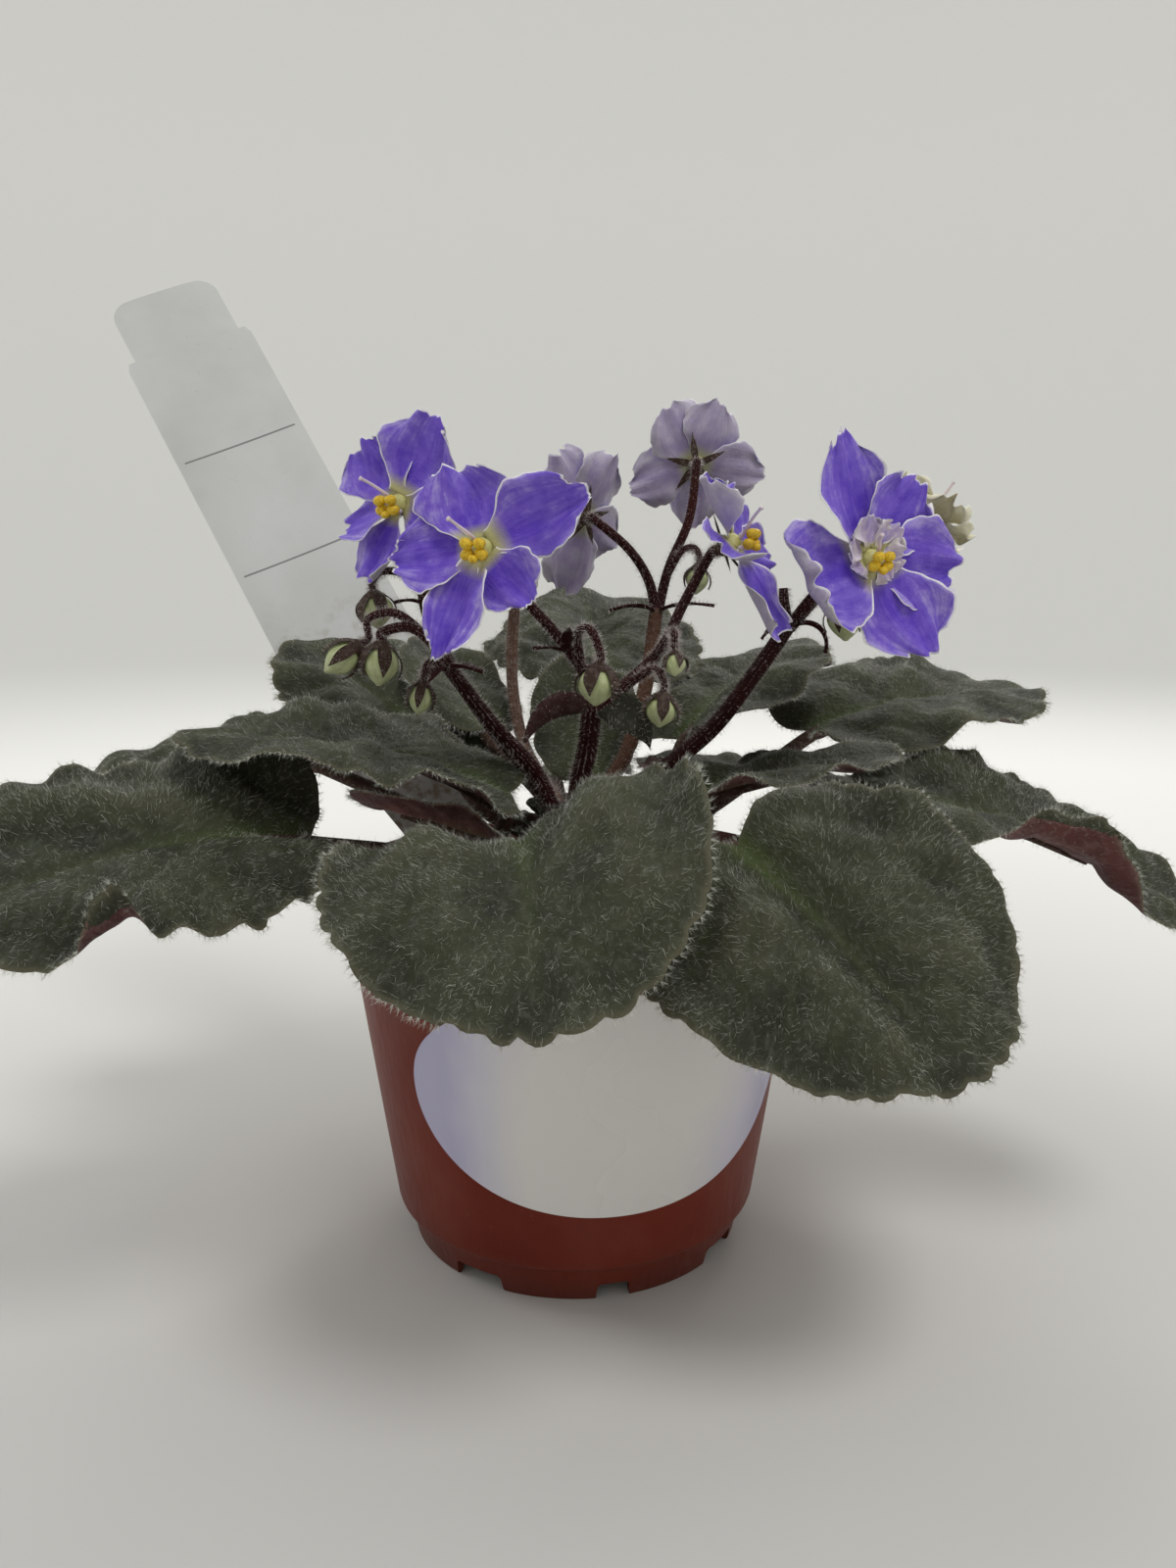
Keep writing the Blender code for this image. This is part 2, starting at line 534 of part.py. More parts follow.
def make_petiole(leaf):
    """The stalk from the crown's side to the blade, ending inside the underside of the midrib."""
    joint = Vector(leaf["joint"])
    out = Vector((*leaf.get("leaves", (joint.x, joint.y)), 0)).normalized()
    foot = out * (CROWN_RADIUS + GAP + 0.9) + Vector((0, 0, leaf["crown"]))
    _, ahead, _, up = midrib(leaf, 0.0)
    far, _, _, far_up = midrib(leaf, leaf["size"][0] * 0.3)
    reach = (joint - foot).length
    stops = [
        (*foot, PETIOLE_RADIUS),
        (*(foot + out * reach * 0.42 + Vector((0, 0, reach * 0.2))), PETIOLE_RADIUS),
        (*(joint - ahead * 3 - up * 1.6), PETIOLE_RADIUS * 0.9),
        (*(far - far_up * 1.0), 0.8),
    ]
    return tube("petiole", stops, "stalk", sides=6)


# ---- flower stalks, buds and flowers ----


def run_to(path):
    """A path whose last stop is a name is carried on to just short of that flower or bud."""
    if not isinstance(path[-1], str):
        return path
    radius, name = path[-2][3] * 0.95, path[-1]
    if name in BUDS:
        at, out, back = BUDS[name]["at"], BUDS[name]["tip"], BUDS[name]["size"][1] / 2
    elif name in FLOWERS:
        at, out, back = FLOWERS[name]["at"], FLOWERS[name]["faces"], CALYX_DEPTH
    else:
        at, out, back = FADED_AT, FADED_FACES, CALYX_DEPTH
    end = Vector(at) - Vector(out).normalized() * (back + GAP + 0.05)
    before = end - Vector(out).normalized() * 2.0
    return path[:-1] + [(*before, radius), (*end, radius)]


def make_stalk(name, paths):
    pieces = [tube(name, run_to(path), "stalk", sides=6, per_span=2) for path in paths]
    return combine(pieces[0], pieces[1:], "UNION") if len(pieces) > 1 else pieces[0]


def sepals(radius, length, droop, finish="calyx"):
    """Five narrow sepals round the stalk's end, built about the origin, with +Z out of the flower's face."""
    made = []
    for k in range(5):
        turn = 2 * math.pi * (k + 0.5) / 5
        out = Vector((math.cos(turn), math.sin(turn), 0))
        stops = [(*(out * 0.6 + Vector((0, 0, -0.6))), 1.0), (*(out * radius), 0.8),
                 (*(out * (radius + length * 0.9) + Vector((0, 0, droop))), 0.3)]
        made.append(tube("sepal", stops, finish, sides=4, per_span=1))
    return made


def lobe_reach(lobes, turn):
    """The corolla's radius at an angle: round lobes that meet a third of the way out."""
    reach = 5.0
    for angle, radius in lobes:
        away = abs((turn - math.radians(angle) + math.pi) % (2 * math.pi) - math.pi) / math.radians(41)
        if away < 1:
            reach = max(reach, radius * math.sqrt(1 - away**2.6))
    return reach


def make_corolla(name, lobes, cup, at, turn, finish):
    """The petals, which are one ring with five lobes, thickened both ways and open in the middle."""
    angles, rings, hole = 30, 3, 2.6
    points, faces = [], []
    for ring in range(rings + 1):
        share = ring / rings
        for k in range(angles):
            angle = 2 * math.pi * k / angles
            reach = hole + (lobe_reach(lobes, angle) - hole) * share
            height = 0.9 + cup * (reach - hole) * (1 - 0.5 * share)
            points.append((reach * math.cos(angle), reach * math.sin(angle), height))
    for ring in range(rings):
        for k in range(angles):
            a, b = ring * angles + k, ring * angles + (k + 1) % angles
            faces.append([a, a + angles, b + angles, b])
    corolla = add_mesh(name, points, faces, finish)
    thick = corolla.modifiers.new("thickness", "SOLIDIFY")
    thick.thickness = 0.7 * MM
    thick.offset = 0.0
    apply_modifiers(corolla)
    return place(corolla, at, turn)


def ball(name, middle, radii, finish):
    """An ellipsoid in millimetres."""
    shaped = bmesh.new()
    bmesh.ops.create_icosphere(shaped, subdivisions=1, radius=1.0)
    points = [[m + r * c for m, r, c in zip(middle, radii, v.co)] for v in shaped.verts]
    faces = [[v.index for v in f.verts] for f in shaped.faces]
    shaped.free()
    return add_mesh(name, points, faces, finish)


def make_stamens(name, at, turn):
    """Two plump anthers, each of two lobes, side by side on short filaments."""
    pieces = []
    for side in (-1, 1):
        for lobe in (-0.6, 0.6):
            middle = (side * 1.0, -1.3 + lobe * 0.5, 4.7 + lobe * side * 0.5 + lobe)
            pieces.append(ball(name, middle, (1.35, 1.2, 1.25), "anther"))
        stops = [(side * 1.3, -1.7, 2.2, 0.5), (side * 1.5, -2.0, 3.4, 0.6), (side * 1.1, -1.4, 4.6, 0.6)]
        pieces.append(tube("filament", stops, "anther", sides=5, per_span=2))
    return place(combine(pieces[0], pieces[1:], "UNION"), at, turn)


def make_calyx(name, at, turn):
    """The cup of sepals behind the petals, with the seed vessel and style that stand up through them."""
    outline = [(0, -CALYX_DEPTH), (1.2, -CALYX_DEPTH), (1.9, -1.4), (1.9, 0.0), (1.6, 1.8), (0.5, 2.4)]
    outline.append((0, 2.4))
    calyx = turned(name, outline, 8, "calyx")
    style = tube("style", [(0, 0, 1.6, 0.5), (-0.4, 1.6, 4.5, 0.4), (-1.6, 3.4, 8.5, 0.4)], "calyx", sides=5)
    pieces = sepals(2.0, 5.4, -0.6)
    for piece in pieces:
        piece.data.transform(Matrix.Translation((0, 0, -1.2 * MM)))
    return place(combine(calyx, [style, *pieces], "UNION"), at, turn)


def make_flower(name, flower):
    turn = facing(flower["faces"])
    make_corolla(name + "_petals", flower["lobes"], flower["cup"], flower["at"], turn, "violet petal")
    make_calyx(name + "_calyx", flower["at"], turn)
    make_stamens(name + "_stamens", flower["at"], turn)


def make_faded_flower():
    turn = facing(FADED_FACES)
    lobes = [(90 + 72 * k, FADED_RADIUS * share) for k, share in enumerate((1.0, 0.9, 0.8, 0.95, 0.85))]
    make_corolla("flower_faded_petals", lobes, 0.5, FADED_AT, turn, "faded petal")
    make_calyx("flower_faded_calyx", FADED_AT, turn)


def make_bud(name, bud):
    """A closed bud: an egg of folded petals with a point, held by five sepals."""
    width, length = bud["size"]
    radius = width / 2
    outline = [(0.0, -length / 2)]
    for share in (0.12, 0.3, 0.5, 0.7, 0.88):
        outline.append((radius * math.sin(math.pi * share) ** 0.8, length * (share - 0.5)))
    outline += [(0.0, length * 0.56)]
    egg = turned(name, outline, 8, "bud")
    pieces = []
    for k in range(5):
        turn = 2 * math.pi * k / 5
        out = Vector((math.cos(turn), math.sin(turn), 0))
        stops = [(*(out * 0.5 + Vector((0, 0, -length * 0.46))), 0.8),
                 (*(out * radius * 0.93 + Vector((0, 0, -length * 0.12))), 0.8),
                 (*(out * radius * 1.02 + Vector((0, 0, length * 0.22))), 0.35)]
        pieces.append(tube("sepal", stops, "calyx", sides=4, per_span=1))
    return place(combine(egg, pieces, "UNION"), bud["at"], facing(bud["tip"]))


def main():
    for old in list(bpy.data.objects):
        bpy.data.objects.remove(old)
    make_pot()
    make_label()
    make_soil()
    make_crown()
    make_tag()
    for name, leaf in LEAVES.items():
        make_leaf(name, leaf)
    for name, paths in STALKS.items():
        make_stalk(name, paths)
    for name, bud in BUDS.items():
        make_bud(name, bud)
    for name, flower in FLOWERS.items():
        make_flower(name, flower)
    make_faded_flower()


main()
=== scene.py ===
import math

import bmesh
import bpy
import numpy as np
from mathutils import Matrix, Vector


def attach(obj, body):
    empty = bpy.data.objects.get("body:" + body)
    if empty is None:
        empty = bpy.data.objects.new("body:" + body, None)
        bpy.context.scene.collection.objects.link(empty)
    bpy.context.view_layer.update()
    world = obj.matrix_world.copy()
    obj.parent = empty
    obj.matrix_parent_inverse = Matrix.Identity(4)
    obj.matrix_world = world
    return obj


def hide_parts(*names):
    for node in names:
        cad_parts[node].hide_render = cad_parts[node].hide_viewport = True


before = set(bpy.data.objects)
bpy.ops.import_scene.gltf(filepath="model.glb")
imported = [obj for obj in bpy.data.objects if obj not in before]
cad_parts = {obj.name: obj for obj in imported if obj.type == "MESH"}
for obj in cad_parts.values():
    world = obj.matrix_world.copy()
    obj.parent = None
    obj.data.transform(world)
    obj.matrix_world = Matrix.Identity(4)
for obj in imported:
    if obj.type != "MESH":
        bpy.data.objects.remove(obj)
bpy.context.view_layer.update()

# ---- Studio ----
# A plain pale floor that sweeps up all round into a pale wall, open above to a bright room, with a big soft
# window behind and above. The camera stands just over the leaves and looks a little down, with a wide lens.

MM = 0.001

camera = bpy.data.objects.new("camera", bpy.data.cameras.new("camera"))
bpy.context.scene.collection.objects.link(camera)
camera.location = (0.0031, -0.270, 0.1535)
camera.rotation_euler = (math.radians(80.1), 0.0, 0.0)
camera.data.lens = 27.0
camera.data.sensor_width = 36.0
camera.data.clip_start = 0.01
bpy.context.scene.camera = camera
bpy.context.scene.view_settings.view_transform = "Standard"


def soft_light(name, place, aim, size, power, colour):
    lamp = bpy.data.lights.new(name, "AREA")
    lamp.shape, lamp.size, lamp.energy, lamp.color = "DISK", size, power, colour
    holder = bpy.data.objects.new(name, lamp)
    bpy.context.scene.collection.objects.link(holder)
    holder.location = place
    holder.rotation_euler = (Vector(aim) - Vector(place)).to_track_quat("-Z", "Y").to_euler()


soft_light("window_behind", (0.30, 0.85, 0.95), (0, 0, 0.10), 0.7, 3.8, (1.0, 0.99, 0.96))
soft_light("window_left", (-0.9, 0.25, 0.75), (0, 0, 0.10), 0.5, 1.8, (0.98, 0.99, 1.0))
soft_light("front_fill", (0.30, -0.50, 1.15), (0, 0, 0.09), 0.4, 4.4, (1.0, 0.99, 0.98))

room = bpy.data.worlds.new("room")
bpy.context.scene.world = room
room.use_nodes = True
room.node_tree.nodes["Background"].inputs["Color"].default_value = (0.93, 0.95, 0.94, 1)
room.node_tree.nodes["Background"].inputs["Strength"].default_value = 0.45

sweep_steps = 96
sweep_profile = [(0.0, 0.0), (0.15, 0.0), (0.3, 0.0), (0.5, 0.0), (0.8, 0.0), (1.2, 0.0), (1.6, 0.0),
                 (2.0, 0.0)]
sweep_profile += [(2.0 + 1.2 * math.sin(turn), 1.2 - 1.2 * math.cos(turn))
                  for turn in np.linspace(0.1, math.pi / 2, 14)]
sweep_profile += [(3.2, 2.0)]
sweep_points, sweep_faces = [(0.0, 0.0, 0.0)], []
for radius, height in sweep_profile[1:]:
    for k in range(sweep_steps):
        turn = 2 * math.pi * k / sweep_steps
        sweep_points.append((radius * math.cos(turn), radius * math.sin(turn), height))
for k in range(sweep_steps):
    after = (k + 1) % sweep_steps
    sweep_faces.append((0, 1 + k, 1 + after))
    for ring in range(len(sweep_profile) - 2):
        a = 1 + ring * sweep_steps
        sweep_faces.append((a + k, a + sweep_steps + k, a + sweep_steps + after, a + after))
floor_mesh = bpy.data.meshes.new("floor")
floor_mesh.from_pydata(sweep_points, [], sweep_faces)
floor_mesh.shade_smooth()
floor = bpy.data.objects.new("floor", floor_mesh)
bpy.context.scene.collection.objects.link(floor)
floor_paint = bpy.data.materials.new("floor_paint")
floor_paint.use_nodes = True
floor_shader = floor_paint.node_tree.nodes["Principled BSDF"]
floor_shader.inputs["Base Color"].default_value = (0.70, 0.69, 0.665, 1)
floor_shader.inputs["Roughness"].default_value = 0.8
floor_shader.inputs["Specular IOR Level"].default_value = 0.2
glow = floor_mesh.attributes.new("glow", "FLOAT", "POINT")


def glow_at(x, y):
    """Painted light: the floor glows dim in front and bright behind, and the far wall glows dimmer again."""
    far = math.hypot(x, y)
    ahead = min(1.0, max(0.0, (far - 0.15) / 1.6)) ** 0.7 * (0.30 + 0.17 * y / 3.2)
    deepest = 0.32 - 0.10 * min(1.0, max(0.0, (far - 0.6) / 1.4))
    behind = min(1.0, max(0.0, (far - 0.15) / 0.5)) ** 0.8 * deepest
    share = min(1.0, max(0.0, 0.5 + y / max(far, 0.01)))
    return ahead + (behind - ahead) * share


glow.data.foreach_set("value", [glow_at(x, y) for x, y, z in sweep_points])
# Painted light: the glow drives the floor's and wall's emission.
glow_read = floor_paint.node_tree.nodes.new("ShaderNodeAttribute")
glow_read.attribute_name = "glow"
floor_paint.node_tree.links.new(glow_read.outputs["Fac"], floor_shader.inputs["Emission Strength"])
floor_shader.inputs["Emission Color"].default_value = (1.0, 1.0, 0.96, 1)
floor.data.materials.append(floor_paint)

# ---- Pot ----
# A thin nursery pot, injection moulded in terracotta-coloured polypropylene: a tapered body, a rim band
# that stands proud of it, and a foot ring with notches that let water out under the raised floor.

POT_STEPS = 144
POT_HEIGHT = 87.0
BAND_LOW = 74.0
FOOT_HEIGHT = 9.0
BODY_LOW_RADIUS = 43.0
BODY_TOP_RADIUS = 52.4
BAND_RADIUS = 54.2
FOOT_RADIUS = 39.0
POT_WALL = 1.2
POT_FLOOR = 7.0


def add_piece(name, points, faces, finishes, which=None, marks=None, sharp=50.0):
    """A smooth-shaded piece from points in millimetres. Which gives each face's finish, and marks are
    named values on the points that the finishes read."""
    mesh = bpy.data.meshes.new(name)
    mesh.from_pydata((np.asarray(points, float) * MM).tolist(), [], faces)
    mesh.shade_smooth()
    if sharp:
        mesh.set_sharp_from_angle(angle=math.radians(sharp))
    for finish in finishes:
        mesh.materials.append(finish)
    if which is not None:
        mesh.polygons.foreach_set("material_index", np.asarray(which, np.int32))
    for mark, values in (marks or {}).items():
        layer = mesh.attributes.new(mark, "FLOAT", "POINT")
        layer.data.foreach_set("value", np.asarray(values, np.float32))
    piece = bpy.data.objects.new(name, mesh)
    bpy.context.scene.collection.objects.link(piece)
    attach(piece, "root")
    return piece


def turned(outline, steps):
    """Points and faces of a body turned about Z from a closed outline of (radius, height)."""
    points, rings, faces = [], [], []
    for radius, height in outline:
        count = 1 if radius < 1e-6 else steps
        rings.append(list(range(len(points), len(points) + count)))
        for k in range(count):
            turn = 2 * math.pi * k / steps
            points.append((radius * math.cos(turn), radius * math.sin(turn), height))
    pairs = list(zip(rings, rings[1:]))
    if len(rings[0]) > 1:
        pairs.append((rings[-1], rings[0]))
    for low, high in pairs:
        for k in range(steps):
            after = k + 1
            corners = (low[k % len(low)], low[after % len(low)], high[after % len(high)], high[k % len(high)])
            corners = tuple(dict.fromkeys(corners))
            if len(corners) > 2:
                faces.append(corners)
    return points, faces


def turn_outwards(piece):
    shaped = bmesh.new()
    shaped.from_mesh(piece.data)
    bmesh.ops.recalc_face_normals(shaped, faces=shaped.faces)
    shaped.to_mesh(piece.data)
    shaped.free()
    return piece


def finish_named(name):
    """A new material with nodes, and short calls that add and join them."""
    made = bpy.data.materials.new(name)
    made.use_nodes = True
    return made, made.node_tree, made.node_tree.nodes["Principled BSDF"]


def node(tree, kind, inputs=(), **settings):
    """Adds a node. Inputs are (socket, value or output of another node)."""
    made = tree.nodes.new(kind)
    for key, value in settings.items():
        setattr(made, key, value)
    for socket, value in inputs:
        if isinstance(value, bpy.types.NodeSocket):
            tree.links.new(value, made.inputs[socket])
        else:
            made.inputs[socket].default_value = value
    return made


def ramp(tree, source, stops):
    """A colour ramp over a value, from (position, colour) stops."""
    made = node(tree, "ShaderNodeValToRGB", [("Fac", source)])
    while len(made.color_ramp.elements) < len(stops):
        made.color_ramp.elements.new(0.5)
    for element, (place, colour) in zip(made.color_ramp.elements, stops):
        element.position = place
        element.color = (*colour, 1) if len(colour) == 3 else colour
    return made.outputs["Color"]


def mix(tree, share, low, high, kind="MIX"):
    made = node(tree, "ShaderNodeMix", [(0, share), (6, low), (7, high)], data_type="RGBA", blend_type=kind)
    return made.outputs[2]


def sum_of(tree, a, b, kind="ADD"):
    return node(tree, "ShaderNodeMath", [(0, a), (1, b)], operation=kind).outputs[0]


def link_roughness(tree, shader, value, low, high):
    """Rough from low to high as the value goes from 0 to 1."""
    rough = node(tree, "ShaderNodeMapRange", [("Value", value), ("To Min", low), ("To Max", high)])
    tree.links.new(rough.outputs[0], shader.inputs["Roughness"])


def link_bump(tree, shader, height, strength, depth):
    bump = node(tree, "ShaderNodeBump", [("Strength", strength), ("Distance", depth), ("Height", height)])
    tree.links.new(bump.outputs[0], shader.inputs["Normal"])


def effect(name, inputs, outputs):
    """A node group with named sockets. Inputs are (name, default), and outputs are (name, kind)."""
    group = bpy.data.node_groups.new(name, "ShaderNodeTree")
    for label, value in inputs:
        kind = "NodeSocketColor" if isinstance(value, tuple) else "NodeSocketFloat"
        group.interface.new_socket(name=label, in_out="INPUT", socket_type=kind).default_value = value
    for label, kind in outputs:
        group.interface.new_socket(name=label, in_out="OUTPUT", socket_type=kind)
    return group, group.nodes.new("NodeGroupInput"), group.nodes.new("NodeGroupOutput")


def use(tree, group, **values):
    """Places an effect in a material. Values are its inputs, with spaces written as underscores."""
    placed = tree.nodes.new("ShaderNodeGroup")
    placed.node_tree = group
    for key, value in values.items():
        socket = placed.inputs[key.replace("_", " ")]
        if isinstance(value, bpy.types.NodeSocket):
            tree.links.new(value, socket)
        else:
            socket.default_value = value
    return placed


# Dust: pale specks and smears that lie over a colour, and dull it.
dust, dust_in, dust_out = effect(
    "dust_and_smears",
    [("Colour", (0.5, 0.5, 0.5, 1)), ("Dust Colour", (0.6, 0.55, 0.5, 1)), ("Amount", 0.3), ("Scale", 60.0)],
    [("Colour", "NodeSocketColor"), ("Mask", "NodeSocketFloat")],
)
place = node(dust, "ShaderNodeTexCoord").outputs["Object"]
cloud = node(dust, "ShaderNodeTexNoise",
             [("Vector", place), ("Scale", dust_in.outputs["Scale"]), ("Detail", 6.0)])
fleck_size = sum_of(dust, dust_in.outputs["Scale"], 14.0, "MULTIPLY")
flecks = node(dust, "ShaderNodeTexNoise", [("Vector", place), ("Scale", fleck_size), ("Detail", 2.0)])
cloud_mask = node(dust, "ShaderNodeMapRange",
                  [("Value", cloud.outputs["Fac"]), ("From Min", 0.5), ("From Max", 0.85)])
fleck_mask = node(dust, "ShaderNodeMapRange",
                  [("Value", flecks.outputs["Fac"]), ("From Min", 0.68), ("From Max", 0.74)])
both = sum_of(dust, cloud_mask.outputs[0], fleck_mask.outputs[0], "MAXIMUM")
dust_mask = sum_of(dust, both, dust_in.outputs["Amount"], "MULTIPLY")
dusty = mix(dust, dust_mask, dust_in.outputs["Colour"], dust_in.outputs["Dust Colour"])
dust.links.new(dusty, dust_out.inputs["Colour"])
dust.links.new(dust_mask, dust_out.inputs["Mask"])

pot_plastic, tree, shader = finish_named("pot_plastic")
place = node(tree, "ShaderNodeTexCoord").outputs["Object"]
flow = node(tree, "ShaderNodeTexNoise", [("Vector", place), ("Scale", 22.0), ("Detail", 4.0)])
base = ramp(tree, flow.outputs["Fac"], [(0.3, (0.125, 0.014, 0.006)), (0.7, (0.170, 0.022, 0.009))])
height = node(tree, "ShaderNodeSeparateXYZ", [("Vector", place)]).outputs["Z"]
# The pot is darker towards its foot, over its lowest 12 mm.
darker_to_foot = node(tree, "ShaderNodeMapRange",
                 [("Value", height), ("From Min", 0.012), ("From Max", 0.0), ("To Max", 0.35)])
base = mix(tree, darker_to_foot.outputs[0], base, (0.07, 0.030, 0.02, 1))
dusted = use(tree, dust, Colour=base, Dust_Colour=(0.33, 0.18, 0.13, 1), Amount=0.12, Scale=55.0)
scratch_place = node(tree, "ShaderNodeMapping",
                     [("Vector", place), ("Scale", (900.0, 900.0, 60.0))]).outputs[0]
scratches = node(tree, "ShaderNodeTexNoise", [("Vector", scratch_place), ("Scale", 1.0), ("Detail", 3.0)])
grain = node(tree, "ShaderNodeTexNoise", [("Vector", place), ("Scale", 2600.0), ("Detail", 2.0)])
rough = node(tree, "ShaderNodeMapRange",
             [("Value", scratches.outputs["Fac"]), ("From Min", 0.3), ("From Max", 0.75), ("To Min", 0.36),
              ("To Max", 0.5)])
relief = sum_of(tree, grain.outputs["Fac"], sum_of(tree, scratches.outputs["Fac"], 0.6, "MULTIPLY"))
tree.links.new(dusted.outputs["Colour"], shader.inputs["Base Color"])
tree.links.new(rough.outputs[0], shader.inputs["Roughness"])
link_bump(tree, shader, relief, 0.12, 0.0002)
shader.inputs["Specular IOR Level"].default_value = 0.2


def body_radius(height):
    share = (height - FOOT_HEIGHT) / (BAND_LOW - FOOT_HEIGHT)
    return BODY_LOW_RADIUS + share * (BODY_TOP_RADIUS - BODY_LOW_RADIUS)


pot_outline = [
    (0.0, POT_FLOOR), (24.0, POT_FLOOR), (FOOT_RADIUS - 3.0, POT_FLOOR - 0.2),
    (FOOT_RADIUS - 2.2, POT_FLOOR - 1.0),
    (FOOT_RADIUS - 1.85, 0.4), (FOOT_RADIUS - 1.4, 0.0), (FOOT_RADIUS - 0.5, 0.0), (FOOT_RADIUS, 0.5),
    (FOOT_RADIUS + 1.6, FOOT_HEIGHT - 1.6), (FOOT_RADIUS + 2.0, FOOT_HEIGHT - 0.9),
    (BODY_LOW_RADIUS - 0.9, FOOT_HEIGHT - 0.2),
    (BODY_LOW_RADIUS - 0.2, FOOT_HEIGHT + 0.3), (BODY_LOW_RADIUS + 0.1, FOOT_HEIGHT + 1.2),
    (body_radius(30.0), 30.0), (body_radius(52.0), 52.0), (body_radius(72.6), 72.6),
    (BODY_TOP_RADIUS + 0.15, BAND_LOW - 0.3),
    (BAND_RADIUS - 0.5, BAND_LOW - 0.1), (BAND_RADIUS - 0.05, BAND_LOW + 0.5), (BAND_RADIUS + 0.25, 80.0),
    (BAND_RADIUS + 0.5, POT_HEIGHT - 1.4), (BAND_RADIUS + 0.45, POT_HEIGHT - 0.5),
    (BAND_RADIUS + 0.1, POT_HEIGHT - 0.05),
    (BAND_RADIUS - 0.5, POT_HEIGHT - 0.1), (BAND_RADIUS - 0.95, POT_HEIGHT - 0.7),
    (BODY_TOP_RADIUS - POT_WALL + 0.2, BAND_LOW), (body_radius(40.0) - POT_WALL, 40.0),
    (BODY_LOW_RADIUS - POT_WALL, FOOT_HEIGHT + 1.6), (BODY_LOW_RADIUS - 2.4, POT_FLOOR + POT_WALL + 0.4),
    (BODY_LOW_RADIUS - 3.8, POT_FLOOR + POT_WALL), (0.0, POT_FLOOR + POT_WALL),
]
points, faces = turned(pot_outline, POT_STEPS)
pot_shell = turn_outwards(add_piece("pot_shell", points, faces, [pot_plastic], sharp=38))


def cut_away(piece, cutters):
    for cutter in cutters:
        step = piece.modifiers.new("cut", "BOOLEAN")
        step.object, step.operation = cutter, "DIFFERENCE"
    bpy.context.view_layer.update()
    baked = bpy.data.meshes.new_from_object(piece.evaluated_get(bpy.context.evaluated_depsgraph_get()))
    piece.modifiers.clear()
    piece.data = baked
    for cutter in cutters:
        bpy.data.objects.remove(cutter)


def plain_object(name, points, faces):
    mesh = bpy.data.meshes.new(name)
    mesh.from_pydata((np.asarray(points, float) * MM).tolist(), [], faces)
    made = bpy.data.objects.new(name, mesh)
    bpy.context.scene.collection.objects.link(made)
    return turn_outwards(made)


NOTCH_HEIGHT = 4.0
NOTCH_WIDTH = 13.0
cutters = []
for k in range(8):
    turn = 2 * math.pi * (k + 0.28) / 8
    half = NOTCH_WIDTH / 2 * (1.0 if k % 2 else 0.62)
    out, side = Vector((math.cos(turn), math.sin(turn), 0)), Vector((-math.sin(turn), math.cos(turn), 0))
    outline = [(-half, -2.0), (half, -2.0), (half - 0.5, NOTCH_HEIGHT - 0.7), (half - 1.2, NOTCH_HEIGHT),
               (-half + 1.2, NOTCH_HEIGHT), (-half + 0.5, NOTCH_HEIGHT - 0.7)]
    points = [out * reach + side * x + Vector((0, 0, z)) for reach in (31.0, 48.0) for x, z in outline]
    faces = [(0, 1, 2, 3, 4, 5), (6, 7, 8, 9, 10, 11)]
    faces += [(i, (i + 1) % 6, (i + 1) % 6 + 6, i + 6) for i in range(6)]
    cutters.append(plain_object("notch", points, faces))
for k in range(6):
    turn = 2 * math.pi * (k + 0.37) / 6
    points, faces = turned([(0, 1), (4.0, 1), (4.0, 13), (0, 13)], 24)
    points = [(x + 24 * math.cos(turn), y + 24 * math.sin(turn), z) for x, y, z in points]
    cutters.append(plain_object("drain", points, faces))
cut_away(pot_shell, cutters)
pot_shell.data.shade_smooth()
pot_shell.data.set_sharp_from_angle(angle=math.radians(38))
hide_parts("pot")

# ---- Label ----
# A glossy coated-paper oval stuck round the front of the pot, tucked up to the rim band. It is white in
# the middle and washed with pale lavender towards its two ends.

LABEL_MIDDLE = -78.0
LABEL_HALF = 55.0
LABEL_LOW, LABEL_HIGH = 23.0, 73.2

label_paper, tree, shader = finish_named("label_paper")
end_share = node(tree, "ShaderNodeAttribute", attribute_name="towards_end").outputs["Fac"]
place = node(tree, "ShaderNodeTexCoord").outputs["Object"]
wash = node(tree, "ShaderNodeTexNoise",
            [("Vector", place), ("Scale", 28.0), ("Detail", 3.0), ("Roughness", 0.45)])
spread = sum_of(tree, end_share, sum_of(tree, wash.outputs["Fac"], 0.55, "MULTIPLY"))
paper = ramp(tree, spread, [(0.50, (0.76, 0.74, 0.72)), (0.78, (0.62, 0.60, 0.71)),
                            (1.0, (0.46, 0.44, 0.63))])
dusted = use(tree, dust, Colour=paper, Dust_Colour=(0.55, 0.52, 0.5, 1), Amount=0.10, Scale=45.0)
waviness = node(tree, "ShaderNodeTexNoise", [("Vector", place), ("Scale", 120.0), ("Detail", 2.0)])
fibre = node(tree, "ShaderNodeTexNoise", [("Vector", place), ("Scale", 1500.0), ("Detail", 4.0)])
relief = sum_of(tree, waviness.outputs["Fac"], sum_of(tree, fibre.outputs["Fac"], 0.12, "MULTIPLY"))
tree.links.new(dusted.outputs["Colour"], shader.inputs["Base Color"])
link_roughness(tree, shader, wash.outputs["Fac"], 0.2, 0.32)
link_bump(tree, shader, relief, 0.10, 0.0006)
shader.inputs["Coat Weight"].default_value = 0.35
shader.inputs["Coat Roughness"].default_value = 0.12


